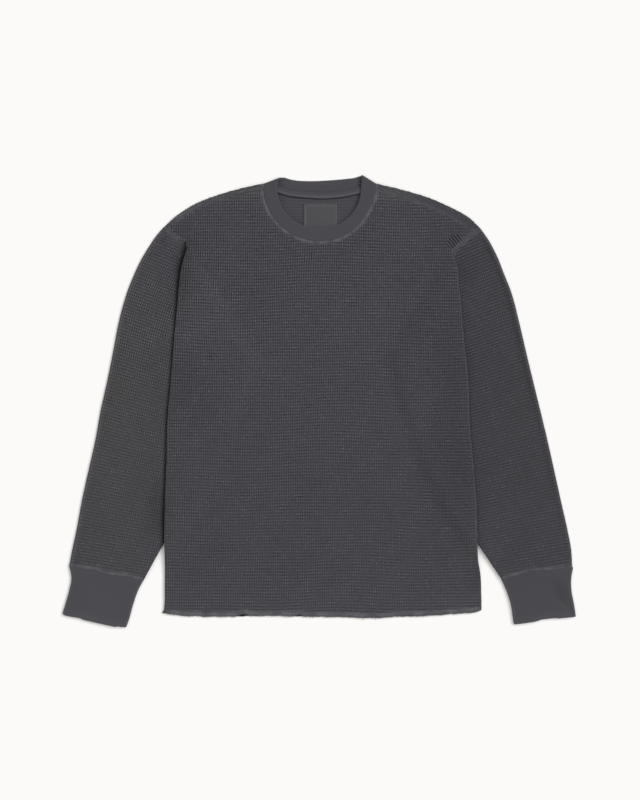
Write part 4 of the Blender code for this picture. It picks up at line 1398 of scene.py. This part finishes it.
def sleeve_painted_light(side):
    """A sleeve's own shade: the painted shadow of the crevice beside the body, and along its outer edge a
    paler worn rim with painted highlight and shade.
    """
    body_edge, outer_edge = curve(side.side_edge, step=6.0), curve(side.sleeve_outer, step=8.0)

    def tone(place, normal):
        plan, down = place[:, :2], place[:, 1]
        edge = gap_to(plan, body_edge, 30.0)
        # painted shadow of the crevice beside the body's edge
        depth, wide = (table_at(CREVICE_SHADOW[side.name], down, column) for column in (1, 2))
        # paler worn fold edge, with painted highlight and shade beside the outer fold
        outer = table_at(OUTER_FOLD_WEAR_AND_LIGHT[side.name], gap_to(plan, outer_edge, 30.0))
        share = smooth(gap_to(plan, side.armhole, 40.0), 2.0, 30.0)
        if side is LEFT:
            share = share * np.interp(down, (-250.0, -100.0, 100.0), (0.35, 0.55, 1.0))
        return (1.0 - depth * bell(edge, wide)) * (1.0 + (outer - 1.0) * share), 1.0

    return tone


# ---- ribbed pieces

def grid_quads(rows, columns, closed_rows=False, closed_columns=False):
    """Quads of a grid whose point (r, c) is number r * columns + c, as one array."""
    r = np.arange(rows if closed_rows else rows - 1)
    c = np.arange(columns if closed_columns else columns - 1)
    r, c = (part.ravel() for part in np.meshgrid(r, c, indexing="ij"))
    r2, c2 = (r + 1) % rows, (c + 1) % columns
    return np.column_stack([r * columns + c, r * columns + c2, r2 * columns + c2, r2 * columns + c])


def wall_section(length, wall, outer_rows, inner_rows, edge_steps=4):
    """Section of a doubled band as a closed loop: run along the band and height over its middle.

    It runs down the outer side, round the free edge on a half circle, back up the inner side and
    round the sewn edge.
    """
    half = wall / 2
    turn = np.radians(np.linspace(90.0, -90.0, edge_steps + 1)[1:-1])
    out, up = half * np.cos(turn), half * np.sin(turn)
    down, back = np.linspace(half, length - half, outer_rows), np.linspace(length - half, half, inner_rows)
    run = np.concatenate([down, length - half + out, back, half - out[::-1]])
    return run, np.concatenate([np.full(outer_rows, half), up, np.full(inner_rows, -half), up[::-1]])


def rib_height(columns, over, inner):
    """Height of a band's section with its ribs, a cosine along it; behind, they have the inner share."""
    relief = bpy.context.scene.thermal_top_cloth.rib_relief / MM
    wave = 0.5 + 0.5 * np.cos(2.0 * np.pi * np.arange(columns) / RIB_POINTS)
    return over[:, None] + relief * (wave[None] - 0.5) * np.where(over > 0.0, 1.0, inner)[:, None]


def band_look(ribs, rows, wear, shade=1.0):
    """What the rib material reads: numbers of rib and row, wear, and shade."""
    ribs, rows, wear, shade = (part.ravel() for part in np.broadcast_arrays(ribs, rows, wear, shade))
    return {"knit": np.column_stack([ribs, rows]), "wear": wear,
            "gain": np.column_stack([np.zeros((len(wear), 2)), shade])}


def cuff_mesh(side):
    """A ribbed cuff: a flattened tube whose wall is a closed section, carried round the wrist.

    Round the wrist the middle line is two level runs joined by half circles; along the cuff the
    section of a doubled band closes the wall at the lower edge and at the sleeve's seam.
    """
    edges = [curve(points, count=FINE) for points in (side.cuff_outer, side.cuff_inner)]
    radius = (CUFF_HEIGHT - CUFF_WALL) / 2
    inset, half_turn = radius + CUFF_WALL / 2, np.pi * radius
    level = np.linalg.norm(edges[0][FINE // 2] - edges[1][FINE // 2]) - 2 * inset
    around = 2 * (level + half_turn)
    columns = RIB_POINTS * round(around / (bpy.context.scene.thermal_top_cloth.rib / MM))
    c = np.arange(columns) / columns * around
    zones = [c < level, c < level + half_turn, c < 2 * level + half_turn]
    turn_in, turn_out = (c - level) / radius, (c - 2 * level - half_turn) / radius
    across = np.select(zones, [c, level, 2 * level + half_turn - c], 0.0) / level
    bulge = np.select(zones, [0.0, np.sin(turn_in), 0.0], -np.sin(turn_out))
    rise = np.select(zones, [1.0, np.cos(turn_in), -1.0], -np.cos(turn_out))

    run, over = wall_section(CUFF_LENGTH, CUFF_WALL, 20, 6)
    at = (run - CUFF_TUCK) / (CUFF_LENGTH - CUFF_TUCK)
    early = np.clip(at, None, 0.0)[:, None] * (CUFF_LENGTH - CUFF_TUCK)
    outer, inner = (
        between(at, np.linspace(0.0, 1.0, FINE), line)
        + early * (line[30] - line[0]) / np.linalg.norm(line[30] - line[0]) for line in edges)
    reach = inner - outer
    width = np.linalg.norm(reach, axis=1)[:, None]
    start = inset + across * (width - 2 * inset)
    thick = radius + rib_height(columns, over, 0.35)
    distance = start + thick * bulge
    z = CUFF_HEIGHT / 2 + thick * rise
    narrow = 1.0 - 0.13 * smooth(CUFF_TUCK - run, -5.0, 2.2)
    z = CUFF_HEIGHT / 2 + (z - CUFF_HEIGHT / 2) * narrow[:, None]
    plan = outer[:, None] + distance[..., None] * (reach / width)[:, None]
    plan[..., 1] += bow(side.wrist_bow, distance / width) * (1.0 - smooth(at, 0.0, 0.8))[:, None]
    plan[..., 1] += bow(side.edge_bow, distance / width) * smooth(at, 0.2, 1.0)[:, None]
    flat = plan.reshape(-1, 2)

    def within(reach):
        """0 at the cuff's sides, up to 1 at the given reach in."""
        return smooth(start, inset, reach) * smooth(width - start, inset, reach)

    waves = slow_waves(flat).reshape(z.shape) * 0.8 * within(30.0)
    waves = waves + folds(flat, CUFF_FOLDS).reshape(z.shape) * within(6.0)
    z = np.where(z < CUFF_HEIGHT / 2, np.maximum(z, 0.0), z + waves)
    wear = 0.1 * bell(run - CUFF_LENGTH, 1.8) + 0.12 * bell(run - CUFF_TUCK - 0.5, 2.0)
    rim = bell(np.minimum(distance, width - distance), 3.2)
    shade = 1.0 + 0.32 * rim + 0.15 * smooth(run, CUFF_LENGTH - 16.0, CUFF_LENGTH - 3.0)[:, None]
    look = band_look(np.arange(columns) / RIB_POINTS, run[:, None] / RIB_ROW, wear[:, None],
                     shade * wash_and_painted_light(flat)[0].reshape(z.shape))
    return np.dstack([plan, z]).reshape(-1, 3), grid_quads(len(run), columns, True, True), look


def neckband_middle(share):
    """Middle surface of the neckband: rows round the neck, and points across it at the given shares.

    The front half lies on the front panel's level and the back half on the surface, with a half
    circle fold at each peak, from the neck point on the seam to the peak on the free edge.
    """
    front_z = WAFFLE_WALL * 1.5 + NECK_AIR
    back_z = RIB_WALL / 2
    radius = (front_z - back_z) / 2

    def raised(plan, z):
        """Plan points with their height."""
        return np.concatenate([plan, np.broadcast_to(z, plan.shape[:2])[..., None]], axis=2)

    def strip(seam, edge, z):
        """A level stretch between the seam and the free edge."""
        return raised(seam[:, None] + share[:, None] * (edge - seam)[:, None], z)

    def fold(side):
        """A half circle about the line from the neck point to the peak."""
        line = np.array(side.neck_point) + share[:, None] * (np.array(side.neck_peak) - side.neck_point)
        heading = unit(np.column_stack([-side.sign * 0.25 * share, -np.ones(len(share))]))
        turns = np.radians(np.linspace(90.0, -90.0, 13))[:, None]
        plan = line + heading * (radius + RIB_WALL / 2) - heading * (radius * np.cos(turns))[..., None]
        return raised(plan, back_z + radius * (1 + np.sin(turns)))

    front = np.linspace(0.02, 0.98, 260)
    first, last = NECK_EDGE[0][0], NECK_EDGE[-1][0]
    angle = first + front * (last - first)
    reach = table_at(curve(NECK_EDGE, count=FINE), angle)
    edge = NECK_EDGE_CENTRE + reach[:, None] * polar(np.radians(angle))
    back = np.linspace(0.0, 1.0, 162)[1:-1]
    back_seam, back_edge = (between(back, np.linspace(0.0, 1.0, FINE), curve(points, count=FINE))[::-1]
                            for points in (BACK_NECK_SEAM, BACK_NECK_EDGE))
    return np.concatenate([strip(neck_ring(np.pi * (1.0 + front), 0.0), edge, front_z), fold(LEFT),
                           strip(back_seam, back_edge, back_z), fold(RIGHT)[::-1]])


def softened(rows, times):
    """The rows of a ring, each averaged with its neighbours, several times over."""
    for _ in range(times):
        rows = (np.roll(rows, 1, axis=0) + 2.0 * rows + np.roll(rows, -1, axis=0)) / 4.0
    return rows


def neckband_mesh():
    """The ribbed neckband: the section of a doubled band carried round its middle surface.

    Rows are spaced evenly for the ribs, the normal comes from the surface's own differences,
    and the section's height is laid off along it.
    """
    last = 8
    around = closed(neckband_middle(np.linspace(0.0, 1.0, last + 1)))
    arc = lengths(around[:, last // 2])
    columns = RIB_POINTS * round(arc[-1] / (bpy.context.scene.thermal_top_cloth.rib / MM))
    even = between(np.arange(columns) / columns * arc[-1], arc, around.reshape(len(around), -1))
    even = softened(even.reshape(columns, last + 1, 3), 3)
    run, over = wall_section(NECKBAND_WIDTH, RIB_WALL, 12, 4)
    place = run / NECKBAND_WIDTH * last
    low = np.minimum(np.floor(place), last - 1).astype(int)
    share = (place - low)[:, None]
    middle = even[:, low] * (1 - share) + even[:, low + 1] * share
    along = np.roll(even, -1, axis=0) - np.roll(even, 1, axis=0)
    normal = unit(softened(unit(np.cross(along, np.gradient(even, axis=1))), 2))
    normal = normal[:, np.clip(np.round(place).astype(int), 0, last)]
    if normal[len(normal) // 4, 0, 2] < 0.0:
        normal = -normal
    points = middle + normal * rib_height(columns, over, 0.6).T[..., None]
    x, y, z = points.transpose(2, 0, 1)
    points[..., 2] = np.maximum(z, 0.0)
    shade = np.ones(z.shape)
    # painted shadow beside the ends of the front half
    for middle_x, low_y, high_y, wide, depth in PEAK_SHADOW:
        down = smooth(y, low_y, low_y + 6.0) * (1.0 - smooth(y, high_y - 3.0, high_y + 1.0))
        shade -= depth * down * bell(x - middle_x, wide) * (z < RIB_WALL + 0.4)
    look = band_look(np.arange(columns)[:, None] / RIB_POINTS, run / RIB_ROW,
                     0.1 * bell(run - NECKBAND_WIDTH, 1.6), shade)
    return points.reshape(-1, 3), grid_quads(columns, len(run), True, True), look


# ---- trimmings

def flat_band(line, width, wall, z, rows, edge_rise, ripple):
    """A thin sewn strip as a closed section carried along a line in plan.

    The section is a flattened loop; the strip's ripple is a sine along its length on its upper side.
    """
    across, over = wall_section(width, wall, rows, 3, 3)
    plan = line[:, None] + across[None, :, None] * aside(np.gradient(line, axis=0))[:, None]
    lift = np.where(over > 0.0, edge_rise * np.sin(np.pi * across / width), 0.0)
    wave = ripple * np.sin(np.arange(len(line)) * 0.9)[:, None] * np.where(over > 0.0, 1.0, 0.3)
    return np.dstack([plan, z + over + lift + wave * 0.5]), across


def close_ends(points):
    """Faces of an open carried section: its quads, and a cap at each end."""
    rows, columns = points.shape[:2]
    first = np.arange(columns)[None, :]
    return [grid_quads(rows, columns, False, True), first, (rows - 1) * columns + first[:, ::-1]]


def oriented(points, faces):
    """Faces turned so that a closed mesh's volume counts positive."""
    fans = np.vstack([np.column_stack([np.repeat(face[:, :1], face.shape[1] - 2, axis=1).ravel(),
                                       face[:, 1:-1].ravel(), face[:, 2:].ravel()]) for face in faces])
    if volume(points, fans) < 0.0:
        return [face[:, ::-1] for face in faces]
    return faces


def tubes(paths, radii, sides=5):
    """Joined round threads: each path is a run of rings, and each ring a circle about its tangent."""
    along = np.gradient(paths, axis=1)
    along /= np.linalg.norm(along, axis=2)[..., None] + 1e-9
    across = np.cross(along, (0.02, 0.01, 1.0))
    across /= np.linalg.norm(across, axis=2)[..., None] + 1e-9
    up = np.cross(across, along)
    turn = 2.0 * np.pi * np.arange(sides) / sides
    ring = np.cos(turn)[:, None] * across[:, :, None] + np.sin(turn)[:, None] * up[:, :, None]
    points = paths[:, :, None] + np.broadcast_to(radii, paths.shape[:2])[..., None, None] * ring
    number = np.arange(points[..., 0].size).reshape(points.shape[:3])
    turned = np.roll(number, -1, axis=2)
    quads = np.stack([number[:, :-1], turned[:, :-1], turned[:, 1:], number[:, 1:]], axis=-1).reshape(-1, 4)
    return points.reshape(-1, 3), [quads[:, ::-1], number[:, 0], number[:, -1, ::-1]]


def stitch_row(line, seed, wear, width=0.0):
    """Stitches along a 3-D line, and how worn each thread is.

    Each is a short thread that rises from the cloth and dips back into it. With a width the threads
    cross from side to side of the line, as a cover stitch does. wear gives the mean and the spread.
    """
    sewing = bpy.context.scene.thermal_top_stitching
    length, radius = sewing.stitch / MM * (0.45 if width else 1.0), sewing.thread / MM
    arc = lengths(line)
    count = int(arc[-1] // length)
    chance = np.random.default_rng(seed)
    start = (np.arange(count) + 0.08 + chance.uniform(-0.05, 0.05, count)) * length
    t = np.linspace(0.0, 1.0, 6)
    where = start[:, None] + t * length * 0.84
    path = between(where, arc, line)
    square = between(where, arc, aside(np.gradient(line[:, :2], axis=0)))
    cross = width * (t - 0.5) * np.where(np.arange(count) % 2, 1.0, -1.0)[:, None]
    path[..., :2] += square * cross[..., None] + chance.normal(0.0, 0.06, (count, 1, 2))
    path[..., 2] += radius * (1.6 * np.sin(np.pi * t) - 0.7)
    points, faces = tubes(path, radius * (0.75 + 0.25 * np.sin(np.pi * t)))
    worn = np.clip(wear[0] + wear[1] * (patches(path[:, 3, :2], seed, 22.0) - 0.5) * 2.0
                   + chance.normal(0.0, 0.5 * wear[1], count), 0.0, 1.0)
    return points, faces, np.repeat(worn, len(points) // count)


def joined(parts):
    """One mesh from several: points and wear stacked, and face numbers moved along."""
    points, faces, wear = zip(*parts)
    starts = np.cumsum([0] + [len(part) for part in points])
    moved = [face + start for group, start in zip(faces, starts) for face in group]
    return np.vstack(points), moved, np.concatenate(wear)


def beside(line, away):
    """A line moved sideways in plan, to the left of its run for a positive distance."""
    return line + aside(np.gradient(line, axis=0)) * away


def on_front(line, rise):
    """A plan line laid on the front panel's outer side."""
    middle, _ = front_surface(line)
    middle[:, 2] += WAFFLE_WALL / 2 + rise
    return middle


def ride_piece(piece, nodes):
    """Fixes a piece to the one body and hides the solids that it stands for."""
    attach(piece, "root")
    if nodes:
        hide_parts(*nodes)


# ---- operators

class THERMALTOP_OT_front(bpy.types.Operator):
    """Knit the front panel"""
    bl_idname = "thermal_top.front"
    bl_label = "Front panel"

    def execute(self, context):
        outline, kinds = front_outline()
        lattice, cells = body_lattice(outline)
        wall = knit_wall("front_cloth", lattice, cells, outline, kinds, front_surface)
        piece = wall_object("front_cloth", wall, 1, finish("waffle"))
        ride_piece(piece, ["front_panel"])
        return {"FINISHED"}


class THERMALTOP_OT_back(bpy.types.Operator):
    """Knit the back panel, with the strips that fold forward over the shoulders"""
    bl_idname = "thermal_top.back"
    bl_label = "Back panel"

    def execute(self, context):
        outline, kinds = back_outline()
        lattice, cells = body_lattice(outline)
        flat = lattice.reshape(-1, 2)
        opening = np.linalg.norm(flat - NECK_SEAM_CENTRE, axis=1) < NECK_SEAM_RADIUS - 12.0
        rows = []
        for side in SIDES:
            plan = shoulder(side)
            for away in (0.0, 0.25, 0.5, 0.75, 1.0):
                rows.append((plan.turn - plan.heading * (np.pi * plan.radius * away)[:, None])[::4])
        tape = curve(TAPE_EDGE, step=1.6)
        rows += [beside(tape, away) for away in (1.6, 0.3, -0.7, -1.7, -3.0)]
        wall = knit_wall("back_cloth", lattice, cells, outline, kinds, back_surface,
                         extra=np.vstack([flat[opening]] + rows), tone=back_painted_shade)
        piece = wall_object("back_cloth", wall, -1, finish("waffle"))
        ride_piece(piece, ["back_panel"])
        return {"FINISHED"}


class THERMALTOP_OT_sleeves(bpy.types.Operator):
    """Knit both sleeves, each one piece folded round its outer edge"""
    bl_idname = "thermal_top.sleeves"
    bl_label = "Sleeves"

    def execute(self, context):
        for side in SIDES:
            plan = sleeve_plan(side)
            outline, kinds = sleeve_outline(side, plan)
            down = np.linspace(8.0, plan.length - 8.0, 60)
            turns = [np.column_stack([np.full(60, away), down]) for away in (-2.7, -1.3, 0.0, 1.3, 2.7)]
            turns += [sleeve_find(plan, beside(curve(side.side_edge, step=6.0), side.sign * away))
                      for away in (-3.0, 1.0, 4.0, 8.0, 13.0, 20.0)]
            name = f"sleeve_{side.name}_cloth"
            wall = knit_wall(name, *knit_lattice(outline), outline, kinds, sleeve_surface(side, plan),
                             extra=np.vstack(turns), tone=sleeve_painted_light(side))
            piece = wall_object(name, wall, int(side.sign), finish("waffle"))
            ride_piece(piece, [f"sleeve_{side.name}"])
        return {"FINISHED"}


class THERMALTOP_OT_cuffs(bpy.types.Operator):
    """Knit both ribbed cuffs"""
    bl_idname = "thermal_top.cuffs"
    bl_label = "Cuffs"

    def execute(self, context):
        for side in SIDES:
            name = f"cuff_{side.name}_cloth"
            points, quads, attributes = cuff_mesh(side)
            piece = mesh_object(name, points, oriented(points, [quads]), finish("rib"), attributes)
            ride_piece(piece, [f"cuff_{side.name}"])
        return {"FINISHED"}


class THERMALTOP_OT_neckband(bpy.types.Operator):
    """Knit the ribbed neckband"""
    bl_idname = "thermal_top.neckband"
    bl_label = "Neckband"

    def execute(self, context):
        points, quads, attributes = neckband_mesh()
        piece = mesh_object("neckband_cloth", points, oriented(points, [quads]), finish("rib"), attributes)
        ride_piece(piece, ["neckband"])
        return {"FINISHED"}


class THERMALTOP_OT_neck_tape(bpy.types.Operator):
    """Sew the tape over the back neck seam"""
    bl_idname = "thermal_top.neck_tape"
    bl_label = "Neck tape"

    def execute(self, context):
        line = curve(TAPE_EDGE, count=150)
        middle_z = RIB_WALL + LAYER_GAP + TRIM_WALL / 2
        points, across = flat_band(line, TAPE_WIDTH, TRIM_WALL, middle_z, 7, 0.3, 0.12)
        flat = points.reshape(-1, 3)
        look = band_look(np.arange(150)[:, None] / RIB_ROW, across, 0.45 * smooth(across, 6.0, 3.5))
        faces = oriented(flat, close_ends(points))
        piece = mesh_object("neck_tape_cloth", flat, faces, finish("rib"), look)
        ride_piece(piece, ["neck_tape"])
        return {"FINISHED"}


class THERMALTOP_OT_neck_label(bpy.types.Operator):
    """Weave the neck label, with a plain border line"""
    bl_idname = "thermal_top.neck_label"
    bl_label = "Neck label"

    def execute(self, context):
        columns, rows = 111, 101
        x, y = np.meshgrid(np.linspace(*LABEL.x, columns), np.linspace(*LABEL.y, rows))
        rim = np.minimum.reduce([x - LABEL.x[0], LABEL.x[1] - x, y - LABEL.y[0], LABEL.y[1] - y])
        middle_z = WAFFLE_WALL + LAYER_GAP + TRIM_WALL / 2
        wave = 0.22 * np.sin(x / 8.5 + 0.4) * np.sin(y / 11.0)
        half = 0.1 + (TRIM_WALL / 2 - 0.1) * smooth(rim, 0.0, 0.9)
        top = middle_z + half + wave + 0.18 * smooth(rim, 4.5, 0.5)
        points = np.vstack([np.dstack([x, y, z]).reshape(-1, 3) for z in (top, middle_z - half)])
        count = columns * rows
        quads = grid_quads(rows, columns)
        number = np.arange(count).reshape(rows, columns)
        loop = np.concatenate([number[0, :-1], number[:-1, -1], number[-1, :0:-1], number[:0:-1, 0]])
        after = np.roll(loop, -1)
        sides = np.column_stack([loop, loop + count, after + count, after])
        border = bell(rim.ravel() - 3.4, 0.42)
        look = {"wear": np.concatenate([border, np.zeros(count)]), "knit": points[:, :2]}
        faces = oriented(points, [quads, quads[:, ::-1] + count, sides])
        piece = mesh_object("neck_label_cloth", points, faces, finish("label"), look)
        ride_piece(piece, ["neck_label"])
        return {"FINISHED"}


class THERMALTOP_OT_stitching(bpy.types.Operator):
    """Sew a cover stitch round the front neck and along each shoulder, and twin rows beside each armhole"""
    bl_idname = "thermal_top.stitching"
    bl_label = "Stitching"

    def execute(self, context):
        turn = np.radians(np.linspace(184.0, 356.0, 300))
        parts = [stitch_row(on_front(neck_ring(turn, 2.5), 0.3), 40, (0.6, 0.5), 2.4)]
        for side in SIDES:
            seam = curve(side.shoulder_seam, step=2.0)[2:-2]
            parts.append(stitch_row(on_front(beside(seam, side.sign * -1.4), 0.1), 50, (0.3, 0.25), 2.2))
            hole = evenly(side.armhole, step=2.0)[1:-1]
            for seed, away in ((60, -3.2), (61, 3.2)):
                parts.append(stitch_row(on_front(beside(hole, side.sign * away), 0.1), seed, (0.4, 0.3)))
        points, faces, wear = joined(parts)
        piece = mesh_object("seam_stitching", points, faces, finish("thread"), {"wear": wear})
        ride_piece(piece, [])
        return {"FINISHED"}


class THERMALTOP_OT_frayed_hem(bpy.types.Operator):
    """Fray the raw hem with short loose yarn ends"""
    bl_idname = "thermal_top.frayed_hem"
    bl_label = "Frayed hem"

    def execute(self, context):
        sewing = context.scene.thermal_top_stitching
        chance = np.random.default_rng(sewing.seed)
        line = hem_line(FRONT_NICKS, 0.6)
        count = sewing.frays
        share = chance.uniform(0.005, 0.995, count)
        bunched = len(share[::6])
        middle = np.array(FRAY_BUNCHES)[chance.integers(len(FRAY_BUNCHES), size=bunched)]
        share[::6] = (middle + chance.normal(0.0, 1.6, bunched) - HEM[0][0]) / (HEM[-1][0] - HEM[0][0])
        root = between(share, np.linspace(0, 1, len(line)), line)
        length = chance.uniform(0.8, 3.6, count) * (1.0 + 0.9 * (chance.uniform(size=count) > 0.93))
        heading = np.radians(chance.normal(-90.0, 48.0, count))
        curl = chance.normal(0.0, 0.9, count)
        t = np.linspace(0.0, 1.0, 6)
        turn = heading[:, None] + curl[:, None] * t
        step = length[:, None] / 5.0
        x, y = (begin[:, None] + np.cumsum(step * part, axis=1) - step * part[:, :1]
                for begin, part in ((root[:, 0], np.cos(turn)), (root[:, 1] + 0.9, np.sin(turn))))
        start_z = (front_middle(root) + chance.uniform(-2.6, 0.9, count))[:, None]
        z = np.maximum(start_z + chance.normal(0.0, 0.5, (count, 1)) * t - 0.8 * t * t, 0.2)
        radius = chance.uniform(0.12, 0.26, (count, 1)) * (1.0 - 0.55 * t)
        points, faces = tubes(np.stack([x, y, z], axis=-1), radius, 4)
        wear = np.repeat(chance.uniform(0.1, 0.9, count), len(points) // count)
        piece = mesh_object("hem_fraying", points, faces, finish("thread"), {"wear": wear})
        ride_piece(piece, [])
        return {"FINISHED"}


class THERMALTOP_OT_stage(bpy.types.Operator):
    """Lay out the pale surface, the light and the camera straight above"""
    bl_idname = "thermal_top.stage"
    bl_label = "Stage"

    def execute(self, context):
        scene, stage = context.scene, context.scene.thermal_top_stage
        mesh = bpy.data.meshes.new("floor")
        corners = [(x * FLOOR_HALF, y * FLOOR_HALF, 0.0) for x, y in ((-1, -1), (1, -1), (1, 1), (-1, 1))]
        mesh.from_pydata(corners, [], [(0, 1, 2, 3)])
        mesh.materials.append(floor_material())
        floor = bpy.data.objects.new("floor", mesh)
        floor.location.z = FLOOR_LEVEL
        scene.collection.objects.link(floor)

        world = bpy.data.worlds.new("studio")
        world.use_nodes = True
        world.node_tree.nodes["Background"].inputs["Color"].default_value = FILL_COLOUR
        world.node_tree.nodes["Background"].inputs["Strength"].default_value = stage.fill
        scene.world = world

        light = bpy.data.lights.new("key", "SUN")
        light.energy, light.angle, light.color = stage.key, stage.key_size, KEY_COLOUR
        key = bpy.data.objects.new("key", light)
        key.rotation_euler = np.radians(KEY_TURN)
        scene.collection.objects.link(key)

        camera = bpy.data.cameras.new("camera")
        camera.lens, camera.sensor_width, camera.sensor_fit = stage.lens, SENSOR, "AUTO"
        eye = bpy.data.objects.new("camera", camera)
        distance = stage.view_height * stage.lens / camera.sensor_width
        eye.location = (*(SHIFT + VIEW_CENTRE) * MM, distance + VIEW_LEVEL)
        scene.collection.objects.link(eye)
        scene.camera = eye
        scene.view_settings.view_transform, scene.view_settings.look = "Standard", "None"
        curves = scene.view_settings.curve_mapping
        for channel, white in zip(curves.curves, WHITE):
            channel.points[1].location = (white, white)
            channel.points.new(1.0, white)
            for point in channel.points:
                point.handle_type = "VECTOR"
        curves.update()
        scene.view_settings.use_curve_mapping = True
        return {"FINISHED"}


class THERMALTOP_PT_panel(bpy.types.Panel):
    """Lists the pieces of the thermal top"""
    bl_label = "Thermal Top"
    bl_space_type = "VIEW_3D"
    bl_region_type = "UI"
    bl_category = "Thermal Top"

    def draw(self, context):
        for operator in PIECES:
            self.layout.operator(operator.bl_idname)
        for name, title, _ in GROUPS:
            group = getattr(context.scene, name)
            box = self.layout.box()
            box.label(text=title)
            for key in group.__annotations__:
                box.prop(group, key)


PIECES = (
    THERMALTOP_OT_back, THERMALTOP_OT_front, THERMALTOP_OT_sleeves, THERMALTOP_OT_cuffs,
    THERMALTOP_OT_neckband, THERMALTOP_OT_neck_tape, THERMALTOP_OT_neck_label,
    THERMALTOP_OT_stitching, THERMALTOP_OT_frayed_hem, THERMALTOP_OT_stage,
)
GROUPS = (
    ("thermal_top_cloth", "Cloth", ThermalTopCloth),
    ("thermal_top_stitching", "Sewing", ThermalTopStitching),
    ("thermal_top_stage", "Stage", ThermalTopStage),
)


def register():
    for name, _, group in GROUPS:
        bpy.utils.register_class(group)
        setattr(bpy.types.Scene, name, PointerProperty(type=group))
    for operator in PIECES:
        bpy.utils.register_class(operator)
    bpy.utils.register_class(THERMALTOP_PT_panel)


def unregister():
    bpy.utils.unregister_class(THERMALTOP_PT_panel)
    for operator in reversed(PIECES):
        bpy.utils.unregister_class(operator)
    for name, _, group in reversed(GROUPS):
        delattr(bpy.types.Scene, name)
        bpy.utils.unregister_class(group)


def main():
    register()
    for operator in PIECES:
        group, name = operator.bl_idname.split(".")
        getattr(getattr(bpy.ops, group), name)()


if __name__ == "__main__":
    main()
